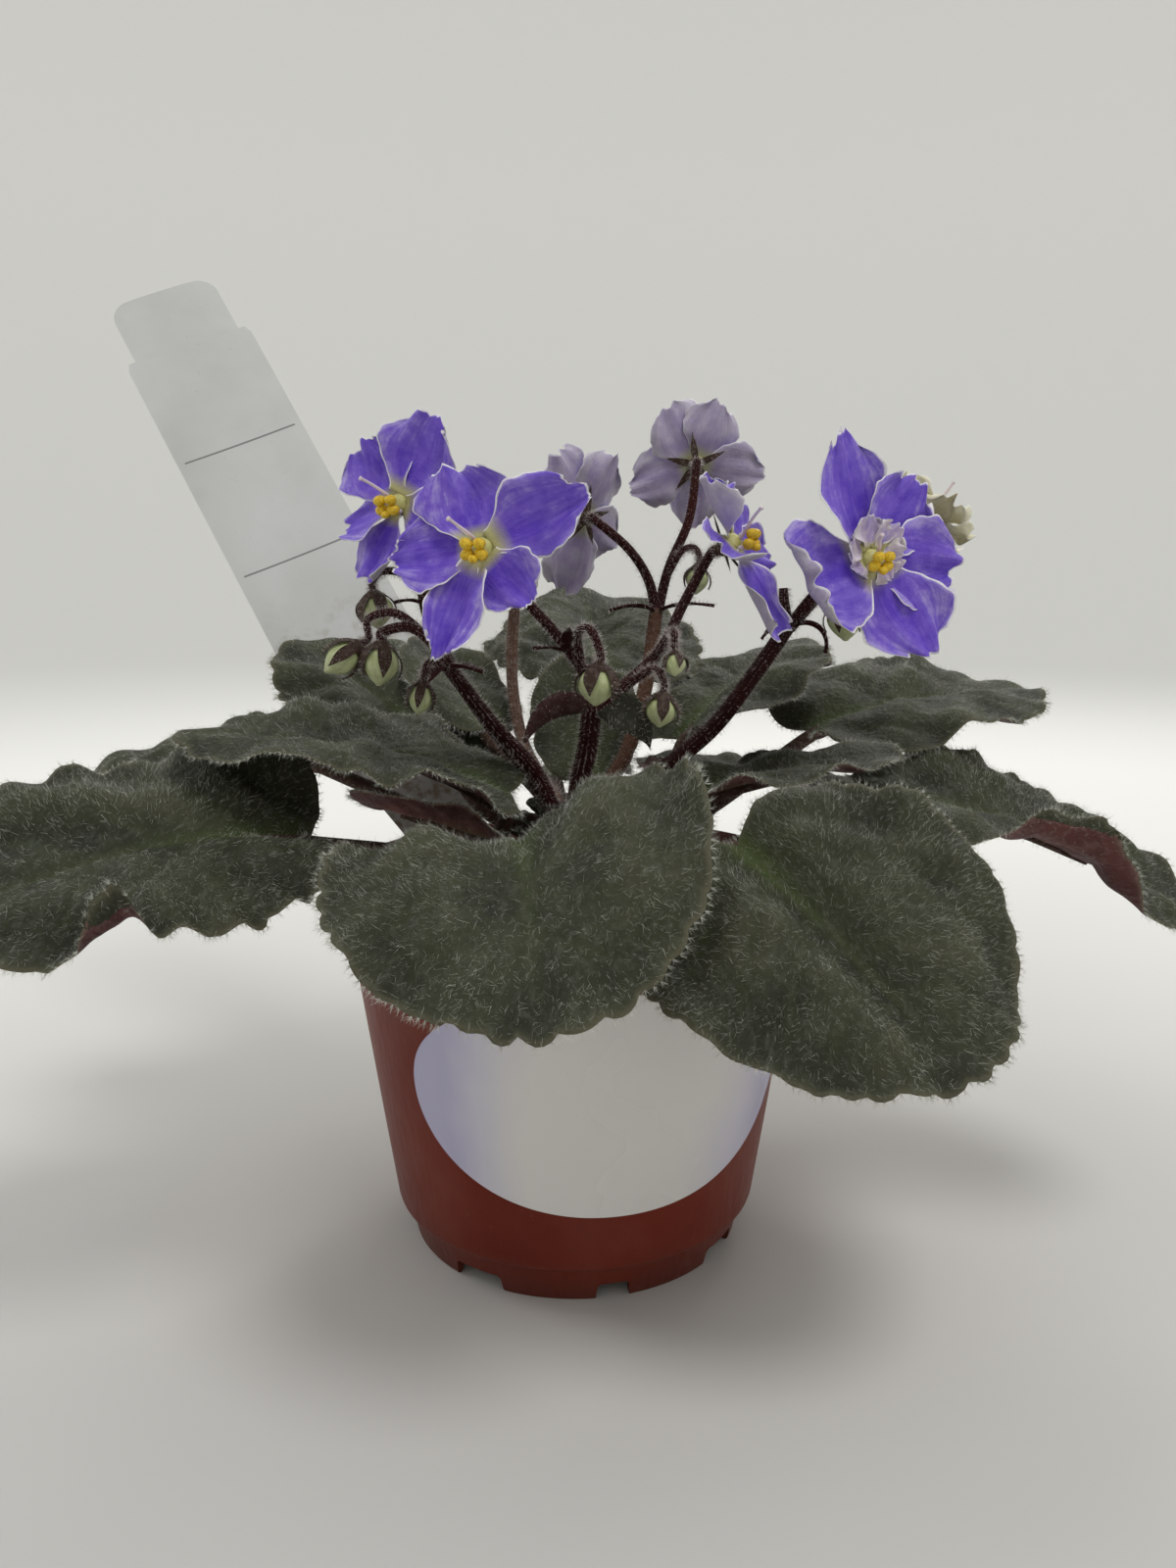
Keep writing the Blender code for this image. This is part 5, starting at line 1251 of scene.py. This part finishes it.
for number, (name, stalk) in enumerate(STALKS.items()):
    source = np.random.default_rng(300 + number)
    points, faces, which = np.zeros((0, 3)), [], []
    hair_points = []
    for path in stalk["paths"]:
        stem_points, stem_faces = tube(run_to(path), STEM_SIDES, 10, len(points))
        points = np.vstack([points, stem_points])
        faces += stem_faces
        main = path is stalk["paths"][0]
        which += [3 if main and name == "stalk_back" else 0] * len(stem_faces)
        count = int(len(stem_points) / STEM_SIDES * (40 if path[0][3] > 1.4 else 32))
        more, _ = tube_hairs(stem_points, STEM_SIDES, count, (0.7, 1.9) if main else (0.5, 1.5), 0.05, 0,
                             source)
        hair_points.append(more)
    for k, (joint, heading, rise, size, *roll) in enumerate(stalk["bracts"]):
        bract_points, bract_faces, sides, top, normal = small_blade(joint, heading, rise, size, sum(roll),
                                                                    len(points), k)
        points = np.vstack([points, bract_points])
        faces += bract_faces
        which += [(4 if side == 1 else 1) if size[1] > 6 else 0 for side in sides]
        count = int(size[0] * size[1] * 3)
        i, j = source.integers(0, top.shape[0], count), source.integers(0, top.shape[1], count)
        ways = normal[i, j] * source.choice([-1, 1], count)[:, None] + source.normal(size=(count, 3)) * 0.5
        more, _ = hairs(top[i, j], ways, source.uniform(0.5, 1.4, count), 0.065, 0, source)
        hair_points.append(more)
    hair_points = np.vstack(hair_points)
    hair_faces = hair_faces_from(len(points), len(hair_points) // 7)
    points = np.vstack([points, hair_points])
    which += [2] * len(hair_faces)
    skin = pale_stalk_skin if name == "stalk_rear" else stalk_skin
    stem = add_piece(name + "_stem", points, faces + hair_faces,
                     [skin, leaf_top, hair_pale, brown_stalk_skin, leaf_under], which, sharp=0)
    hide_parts(name)

# ---- Buds ----
# Unopened flowers: five yellow-green petals folded over each other into a pointed egg, held by five
# narrow brown-purple sepals with hairs along them.

bud_green, tree, shader = finish_named("bud_green")
place = node(tree, "ShaderNodeTexCoord").outputs["Object"]
crease_shade = node(tree, "ShaderNodeAttribute", attribute_name="crease_shade").outputs["Fac"]
tip_share = node(tree, "ShaderNodeAttribute", attribute_name="to_tip").outputs["Fac"]
mottle = node(tree, "ShaderNodeTexNoise", [("Vector", place), ("Scale", 500.0), ("Detail", 4.0)])
base = ramp(tree, mottle.outputs["Fac"], [(0.3, (0.36, 0.42, 0.15)), (0.7, (0.55, 0.60, 0.32))])
# Painted shade: the buds are darker green in the creases between their folded petals.
base = mix(tree, sum_of(tree, crease_shade, 0.6, "MULTIPLY"), base, (0.22, 0.27, 0.07, 1))
base = mix(tree, sum_of(tree, tip_share, 0.35, "MULTIPLY"), base, (0.70, 0.70, 0.52, 1))
veins = node(tree, "ShaderNodeTexNoise", [("Vector", place), ("Scale", 1500.0), ("Detail", 3.0)])
tree.links.new(base, shader.inputs["Base Color"])
link_bump(tree, shader, veins.outputs["Fac"], 0.35, 0.0002)
link_roughness(tree, shader, mottle.outputs["Fac"], 0.42, 0.6)
shader.inputs["Subsurface Weight"].default_value = 0.15
shader.inputs["Subsurface Radius"].default_value = (0.001, 0.001, 0.0004)
sepal_skin = leaf_finish("sepal_skin", (0.055, 0.022, 0.014), (0.110, 0.055, 0.030), (0.12, 0.06, 0.03),
                         (0.12, 0.08, 0.03), (0.14, 0.08, 0.05), (0.42, 0.34, 0.30), 0.22)


def facing(direction):
    """A rotation that turns +Z to a direction and keeps +Y as near up as it can."""
    ahead = Vector(direction).normalized()
    side = Vector((0, 0, 1)).cross(ahead).normalized()
    return np.array(Matrix((side, ahead.cross(side), ahead)).transposed())


def sepal_ring(radius, base, reach, tip, wide, start, number=5, turned_by=0.0, seed=0, hug=None):
    """Five narrow sepals as flattened tapering blades, around the origin. Each is (points, faces)."""
    made, faces = [], []
    for k in range(number):
        turn = 2 * math.pi * k / number + turned_by + 0.12 * math.sin(7 * k + seed)
        out = np.array([math.cos(turn), math.sin(turn), 0.0])
        side = np.array([-math.sin(turn), math.cos(turn), 0.0])
        columns, rows = 11, 5
        t = np.linspace(0, 1, columns)[:, None]
        s = np.linspace(-1, 1, rows)[None, :]
        half = wide / 2 * (0.55 + 0.75 * np.sin(np.pi * t**0.8)) * (1 - t**4) + 0.05
        far = radius * np.minimum(t / 0.25, 1) + reach * np.clip(t - 0.25, 0, 1)
        height = base + (tip - base) * t**1.2 + 0.25 * (s**2) * (1 - t)
        if hug:
            height = base + (tip - base) * t + 0 * s
            far = hug(height) + 0.25 + reach * t**3 + 0.15 * np.sin(4 * t + k)
        for layer, lift in ((0, 0.0), (1, 0.32)):
            grid = out * far[..., None] + side * (s * half)[..., None]
            grid = grid + np.array([0, 0, 1.0]) * height[..., None]
            grid = grid + out * (lift * (1 - 0.5 * np.abs(s)))[..., None]
            made.append(grid.reshape(-1, 3))
        faces += sheet_faces(columns, rows, start + 2 * columns * rows * k, flip=True)[0]
    return np.vstack(made), faces


for number, (name, bud) in enumerate(BUDS.items()):
    source = np.random.default_rng(500 + number)
    width, length = bud["size"]
    radius, sides, rings = width / 2, 40, 22
    t = np.linspace(0, 1, rings)[:, None]
    turn = (np.arange(sides) * 2 * np.pi / sides)[None, :]
    swirl = turn * 2.5 + 2.2 * t
    ridge = np.abs(np.sin(swirl))
    around = radius * np.sin(np.pi * np.clip(t, 0.02, 0.985) ** 1.05) ** 0.75 * (0.93 + 0.09 * ridge)
    height = length * (t - 0.5) + 0.08 * length * t**3 + 0 * turn
    egg = np.stack([around * np.cos(turn), around * np.sin(turn), height], -1).reshape(-1, 3)
    crease_shade = np.exp(-((ridge / 0.22) ** 2)).reshape(-1)
    to_tip = np.broadcast_to(t, ridge.shape).reshape(-1)
    faces = []
    for i in range(rings - 1):
        faces += [(i * sides + k, i * sides + (k + 1) % sides, (i + 1) * sides + (k + 1) % sides,
                   (i + 1) * sides + k) for k in range(sides)]
    faces += [tuple(reversed(range(sides))), tuple((rings - 1) * sides + k for k in range(sides))]
    which = [0] * len(faces)
    egg_heights, egg_reach = height[:, 0], around.max(axis=1)
    sepal_points, sepal_faces = sepal_ring(radius, -length * 0.49, radius * 0.22, length * 0.36, width * 0.30,
                                           len(egg), seed=number,
                                           hug=lambda at: np.interp(at, egg_heights, egg_reach))
    cup_points, cup_faces = tube([(0, 0, -length * 0.52, 1.05), (0, 0, -length * 0.40, radius * 0.62),
                                  (0, 0, -length * 0.30, radius * 0.78)],
                                 20, 4, len(egg) + len(sepal_points))
    points = np.vstack([egg, sepal_points, cup_points])
    faces += sepal_faces + cup_faces
    which += [1] * (len(sepal_faces) + len(cup_faces))
    pick = source.integers(0, len(sepal_points), 240)
    ways = sepal_points[pick] * (1, 1, 0.2)
    ways /= np.linalg.norm(ways, axis=1)[:, None] + 1e-9
    ways += source.normal(size=ways.shape) * 0.4
    hair_points, hair_faces = hairs(sepal_points[pick], ways, source.uniform(0.5, 1.3, 240), 0.06,
                                    len(points), source)
    points = np.vstack([points, hair_points]) @ facing(bud["tip"]).T + np.array(bud["at"], float)
    faces += hair_faces
    which += [2] * len(hair_faces)
    rest = len(points) - len(egg)
    marks = {"crease_shade": np.concatenate([crease_shade, np.zeros(rest)]),
             "to_tip": np.concatenate([to_tip, np.zeros(rest)])}
    egg_piece = add_piece(name + "_egg", points, faces, [bud_green, sepal_skin, hair_pale], which, marks,
                          sharp=0)
    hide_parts(name)

# ---- Flowers ----
# Five thin petals joined at the throat, blue-violet with darker streaks and a thin white ruffled edge, and
# pale lilac behind. Two fat yellow anthers and a pale style stand in the throat over a hairy calyx.


def petal_finish(name, deep, mid, pale, throat, edge_colour, glow):
    made, tree, shader = finish_named(name)
    place = node(tree, "ShaderNodeTexCoord").outputs["Object"]
    outward = node(tree, "ShaderNodeAttribute", attribute_name="outward").outputs["Fac"]
    sideways = node(tree, "ShaderNodeAttribute", attribute_name="sideways").outputs["Fac"]
    edge = node(tree, "ShaderNodeAttribute", attribute_name="edge").outputs["Fac"]
    middle = node(tree, "ShaderNodeAttribute", attribute_name="middle").outputs["Fac"]
    blotch = node(tree, "ShaderNodeTexNoise",
                  [("Vector", place), ("Scale", 260.0), ("Detail", 6.0), ("Roughness", 0.65)])
    streak_place = node(tree, "ShaderNodeCombineXYZ",
                        [("X", sum_of(tree, sideways, 6.5, "MULTIPLY")),
                         ("Y", sum_of(tree, outward, 1.1, "MULTIPLY"))])
    streaks = node(tree, "ShaderNodeTexNoise",
                   [("Vector", streak_place.outputs[0]), ("Scale", 1.0), ("Detail", 7.0), ("Roughness", 0.68),
                    ("Distortion", 0.8)])
    tone = sum_of(tree, sum_of(tree, streaks.outputs["Fac"], 0.45, "MULTIPLY"),
                  sum_of(tree, blotch.outputs["Fac"], 0.45, "MULTIPLY"))
    tone = sum_of(tree, tone, sum_of(tree, middle, 0.22, "MULTIPLY"))
    petal = ramp(tree, tone, [(0.40, pale), (0.52, mid), (0.66, deep)])
    near = node(tree, "ShaderNodeMapRange",
                [("Value", outward), ("From Min", 0.22), ("From Max", 0.06), ("To Max", 0.9)])
    petal = mix(tree, near.outputs[0], petal, (*throat, 1))
    ragged = sum_of(tree, edge, sum_of(tree, blotch.outputs["Fac"], 0.5, "MULTIPLY"))
    rim = node(tree, "ShaderNodeMapRange", [("Value", ragged), ("From Min", 0.98), ("From Max", 1.14)])
    petal = mix(tree, rim.outputs[0], petal, (*edge_colour, 1))
    vein_place = node(tree, "ShaderNodeCombineXYZ",
                      [("X", sum_of(tree, sideways, 24.0, "MULTIPLY")),
                       ("Y", sum_of(tree, outward, 3.0, "MULTIPLY"))])
    vein_noise = node(tree, "ShaderNodeTexNoise",
                      [("Vector", vein_place.outputs[0]), ("Scale", 1.0), ("Detail", 3.0)])
    cells = node(tree, "ShaderNodeTexVoronoi", [("Vector", place), ("Scale", 2600.0)])
    relief = sum_of(tree, vein_noise.outputs["Fac"], sum_of(tree, cells.outputs["Distance"], 0.5, "MULTIPLY"))
    tree.links.new(petal, shader.inputs["Base Color"])
    link_roughness(tree, shader, blotch.outputs["Fac"], 0.45, 0.62)
    link_bump(tree, shader, relief, 0.45, 0.0003)
    shader.inputs["Subsurface Weight"].default_value = glow
    shader.inputs["Subsurface Radius"].default_value = (0.0012, 0.0010, 0.0016)
    shader.inputs["Specular IOR Level"].default_value = 0.35
    shader.inputs["Sheen Weight"].default_value = 0.12
    shader.inputs["Sheen Roughness"].default_value = 0.35
    return made


petal_face = petal_finish("petal_face", (0.110, 0.045, 0.53), (0.205, 0.120, 0.63), (0.42, 0.34, 0.74),
                          (0.52, 0.50, 0.18), (0.92, 0.90, 0.93), 0.35)
petal_back = petal_finish("petal_back", (0.32, 0.26, 0.44), (0.43, 0.38, 0.52), (0.54, 0.50, 0.58),
                          (0.44, 0.44, 0.27), (0.72, 0.70, 0.74), 0.45)
petal_pale = petal_finish("petal_pale", (0.38, 0.30, 0.60), (0.66, 0.58, 0.70), (0.80, 0.76, 0.76),
                          (0.70, 0.66, 0.45), (0.88, 0.86, 0.86), 0.45)
petal_faded = petal_finish("petal_faded", (0.56, 0.50, 0.28), (0.73, 0.69, 0.47), (0.84, 0.81, 0.64),
                           (0.60, 0.56, 0.36), (0.90, 0.88, 0.80), 0.45)

anther_yellow, tree, shader = finish_named("anther_yellow")
place = node(tree, "ShaderNodeTexCoord").outputs["Object"]
pollen = node(tree, "ShaderNodeTexNoise", [("Vector", place), ("Scale", 2200.0), ("Detail", 3.0)])
tree.links.new(ramp(tree, pollen.outputs["Fac"], [(0.3, (0.55, 0.32, 0.006)), (0.6, (0.84, 0.58, 0.025))]),
               shader.inputs["Base Color"])
link_bump(tree, shader, pollen.outputs["Fac"], 0.5, 0.0002)
link_roughness(tree, shader, pollen.outputs["Fac"], 0.4, 0.7)
shader.inputs["Subsurface Weight"].default_value = 0.1
shader.inputs["Subsurface Radius"].default_value = (0.0006, 0.0004, 0.0001)

style_pale, tree, shader = finish_named("style_pale")
along = node(tree, "ShaderNodeTexNoise", [("Scale", 600.0), ("Detail", 2.0)])
tree.links.new(ramp(tree, along.outputs["Fac"], [(0.3, (0.62, 0.48, 0.56)), (0.7, (0.84, 0.76, 0.78))]),
               shader.inputs["Base Color"])
link_roughness(tree, shader, along.outputs["Fac"], 0.35, 0.5)


def petal(angle, radius, cup, tilt, source, start, wide=0.80, curl=0.0, thick=0.26, ruffle=1.0, hole=1.9):
    """One petal in the flower's own axes: +Z out of the face, the angle from the right. Returns its points,
    its faces, the finish of each face (front or back) and the marks that the finish reads."""
    columns, rows = 26, 23
    t = np.linspace(0, 1, columns)[:, None]
    s = np.linspace(-1, 1, rows)[None, :]
    phase = source.uniform(0, 6.28, 6)
    spread = 0.34 + 0.66 * np.sin(np.pi / 2 * np.clip(t / 0.60, 0, 1)) ** 1.4
    close = np.sqrt(np.clip(1 - np.clip((t - 0.60) / 0.47, 0, 1) ** 2.3, 0.03, 1))
    half = radius * wide / 2 * spread * close * 1.12
    jag = 0.034 * np.sin(4.3 * s + phase[0]) + 0.028 * np.sin(9 * s + phase[1])
    jag = jag + 0.026 * np.abs(np.sin(13 * s + phase[2]))
    jag = jag + 0.012 * np.sin(26 * s + phase[3])
    far = hole + (radius - hole) * (t * (1 - 0.15 * np.abs(s) ** 2.2) + jag * t**5)
    across = s * half * (1 + (0.035 * np.sin(14 * t + phase[2]) + 0.02 * np.sin(33 * t + phase[4]))
                         * np.abs(s) ** 4)
    lean = 0.12 * np.sin(phase[5]) * radius * t**2
    height = 0.9 + cup * (far - hole) * (1 - 0.5 * t)
    height = height + ruffle * radius * (0.048 * np.sin(4.5 * s + phase[3])
                                         + 0.034 * np.sin(10 * s + phase[1])) * t**2
    height = height + ruffle * radius * 0.050 * np.sin(9 * t + phase[0] + 1.5 * np.sign(s)) * np.abs(s) ** 3
    height = height - 0.16 * half * (1 - s**2) * np.sin(np.pi * t**0.8) + 0.06 * radius * np.abs(s) ** 2 * t
    height = height + tilt * across
    if curl > 0:
        across, rolled = fold_over(across, 1, 0.05 * radius * wide, radius * wide * 0.16, curl)
        height = height + rolled
    if curl < 0:
        far, rolled = fold_over(far, 1, 0.76 * radius, radius * 0.08, -curl)
        height = height + rolled
    across = across + lean
    turn = math.radians(angle)
    out, side = np.array([math.cos(turn), math.sin(turn), 0]), np.array([-math.sin(turn), math.cos(turn), 0])
    front = out * far[..., None] + side * across[..., None] + np.array([0, 0, 1.0]) * height[..., None]
    along_way, across_way = np.gradient(front, axis=0), np.gradient(front, axis=1)
    normal = np.cross(along_way, across_way)
    normal /= np.linalg.norm(normal, axis=2)[..., None] + 1e-9
    depth = thick * (1 - 0.6 * np.maximum(np.abs(s) ** 8, t**10))
    back = front - normal * depth[..., None]
    faces, sides = sheet_faces(columns, rows, start)
    which = [min(side, 1) for side in sides]
    from_edge = np.minimum((1 - np.abs(s)) * half * 1.4, (1 - t) * radius * 1.1 + 0 * s) / radius
    marks = {
        "outward": np.tile(np.broadcast_to(t, front.shape[:2]).reshape(-1), 2),
        "sideways": np.tile((s * (0.4 + 0.6 * t) + 0 * t).reshape(-1), 2) + source.uniform(0, 40),
        "edge": np.tile(np.clip(1 - from_edge / 0.10, 0, 1).reshape(-1), 2),
        "middle": np.tile(((1 - np.abs(s) ** 1.6) * (1 - 0.55 * t)).reshape(-1), 2),
    }
    return np.vstack([front.reshape(-1, 3), back.reshape(-1, 3)]), faces, which, marks


def petals_piece(name, petals, at, faces_way, finishes, replaced):
    """Joins petals, given as the petal function's arguments, into one piece in its place."""
    points, faces, which = np.zeros((0, 3)), [], []
    marks = {"outward": [], "sideways": [], "edge": [], "middle": []}
    for spec in petals:
        more, more_faces, more_which, more_marks = petal(start=len(points), **spec)
        points = np.vstack([points, more])
        faces += more_faces
        which += more_which
        for mark, values in more_marks.items():
            marks[mark] = np.concatenate([marks[mark], values])
    points = points @ facing(faces_way).T + np.array(at, float)
    piece = add_piece(name, points, faces, finishes, which, marks, sharp=0)
    if replaced:
        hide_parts(replaced)
    return piece


def throat_pieces(name, at, faces_way, source, stamens=True):
    """The calyx with its style, and the anthers, in their places."""
    turn, at = facing(faces_way).T, np.array(at, float)
    cup, cup_faces = tube([(0, 0, -CALYX_DEPTH, 1.15), (0, 0, -2.2, 1.7), (0, 0, -0.8, 2.0),
                           (0, 0, 0.6, 1.8)], 20, 5)
    ring, ring_faces = sepal_ring(1.7, -1.9, 8.0, -0.7, 1.25, len(cup), turned_by=0.3,
                                  seed=source.integers(9))
    ovary, ovary_faces = tube([(0, 0, -0.2, 2.0), (0, 0, 0.6, 2.2), (0, 0, 1.4, 1.9), (0, 0, 2.1, 1.1),
                               (0, 0, 2.3, 0.3)], 20, 5, len(cup) + len(ring))
    bent = source.uniform(-0.5, 0.5)
    stops = [(0, 0.2, 2.2, 0.42), (-0.6, 1.4, 4.6, 0.36), (-1.9 + bent, 2.6, 7.2, 0.32),
             (-2.8 + bent, 3.2, 9.2, 0.34), (-3.0 + bent, 3.3, 9.8, 0.5)]
    style, style_faces = tube(stops, 10, 6, len(cup) + len(ring) + len(ovary))
    points = np.vstack([cup, ring, ovary, style])
    faces = cup_faces + ring_faces + ovary_faces + style_faces
    which = [0] * (len(cup_faces) + len(ring_faces)) + [3] * len(ovary_faces) + [1] * len(style_faces)
    pick = source.integers(0, len(cup) + len(ring), 260)
    ways = points[pick] * (1, 1, 0) + (0, 0, -1.2) + source.normal(size=(260, 3)) * 0.8
    hair_points, hair_faces = hairs(points[pick], ways, source.uniform(0.5, 1.2, 260), 0.06, len(points),
                                    source)
    points = np.vstack([points, hair_points]) @ turn + at
    which += [2] * len(hair_faces)
    calyx = add_piece(name + "_cup", points, faces + hair_faces,
                      [sepal_skin, style_pale, hair_pale, throat_green], which, sharp=0)
    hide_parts(name + "_calyx")
    if not stamens:
        return
    rows, sides = 12, 18
    t = np.linspace(0.02, 0.98, rows)[:, None] * np.pi
    around = (np.arange(sides) * 2 * np.pi / sides)[None, :]
    points, faces, which = np.zeros((0, 3)), [], []
    for x, y, z, size in ((-1.5, -1.9, 4.0, 1.0), (-1.3, -0.3, 5.4, 0.95), (1.4, -2.0, 4.2, 1.0),
                          (1.3, -0.2, 5.3, 0.92), (0.0, -3.0, 4.8, 0.7)):
        crease = 1 - 0.14 * np.exp(-((np.sin(around) / 0.25) ** 2)) * (np.cos(around) > 0)
        grid = np.stack([1.45 * np.sin(t) * np.cos(around) * crease,
                         1.15 * np.sin(t) * np.sin(around) * crease, 1.3 * np.cos(t) + 0 * around], -1)
        start = len(points)
        lean_x, lean_z = source.uniform(-0.4, 0.4), source.uniform(-0.5, 0.5)
        lean = Matrix.Rotation(lean_x, 3, "X") @ Matrix.Rotation(lean_z, 3, "Z")
        points = np.vstack([points, grid.reshape(-1, 3) @ np.array(lean).T * size + (x, y, z)])
        for i in range(rows - 1):
            faces += [(start + i * sides + k, start + (i + 1) * sides + k,
                       start + (i + 1) * sides + (k + 1) % sides, start + i * sides + (k + 1) % sides)
                      for k in range(sides)]
        faces += [tuple(start + k for k in range(sides)),
                  tuple(start + (rows - 1) * sides + k for k in reversed(range(sides)))]
    which = [0] * len(faces)
    for side in (-1, 1):
        stops = [(side * 1.3, -1.7, 1.6, 0.5), (side * 1.5, -2.0, 3.0, 0.55), (side * 1.2, -1.5, 4.2, 0.6)]
        more, more_faces = tube(stops, 10, 4, len(points))
        points = np.vstack([points, more])
        faces += more_faces
        which += [1] * len(more_faces)
    anthers = add_piece(name + "_anthers", points @ turn + at, faces, [anther_yellow, style_pale], which,
                        sharp=0)
    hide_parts(name + "_stamens")


for number, (name, flower) in enumerate(FLOWERS.items()):
    source = np.random.default_rng(700 + number)
    petals = []
    for angle, radius, wide, tilt, curl in flower["petals"]:
        petals.append(dict(angle=angle, radius=radius, cup=flower["cup"], tilt=tilt, source=source, wide=wide,
                           curl=curl))
    petals_piece(name + "_corolla", petals, flower["at"], flower["faces"], [petal_face, petal_back],
                 name + "_petals")
    throat_pieces(name, flower["at"], flower["faces"], source)

# The right-hand flower is half double: small pale crumpled petals crowd round its anthers.
source = np.random.default_rng(790)
puffs = [dict(angle=angle, radius=radius, cup=0.9, tilt=0.2, source=source, wide=0.95, ruffle=2.2, hole=2.4)
         for angle, radius in ((100, 8.5), (45, 8.0), (0, 6.5), (150, 7.0), (205, 6.0), (-45, 5.5))]
petals_piece("flower_right_puffs", puffs, FLOWERS["flower_right"]["at"], FLOWERS["flower_right"]["faces"],
             [petal_pale, petal_pale], None)

source = np.random.default_rng(795)
faded = [dict(angle=90 + 72 * k, radius=12.0 * share, cup=0.5, tilt=0.15, source=source, wide=1.0, ruffle=2.0)
         for k, share in enumerate((1.0, 0.9, 0.8, 0.95, 0.85))]
petals_piece("flower_faded_corolla", faded, FADED_AT, FADED_FACES, [petal_faded, petal_faded],
             "flower_faded_petals")
throat_pieces("flower_faded", FADED_AT, FADED_FACES, source, stamens=False)
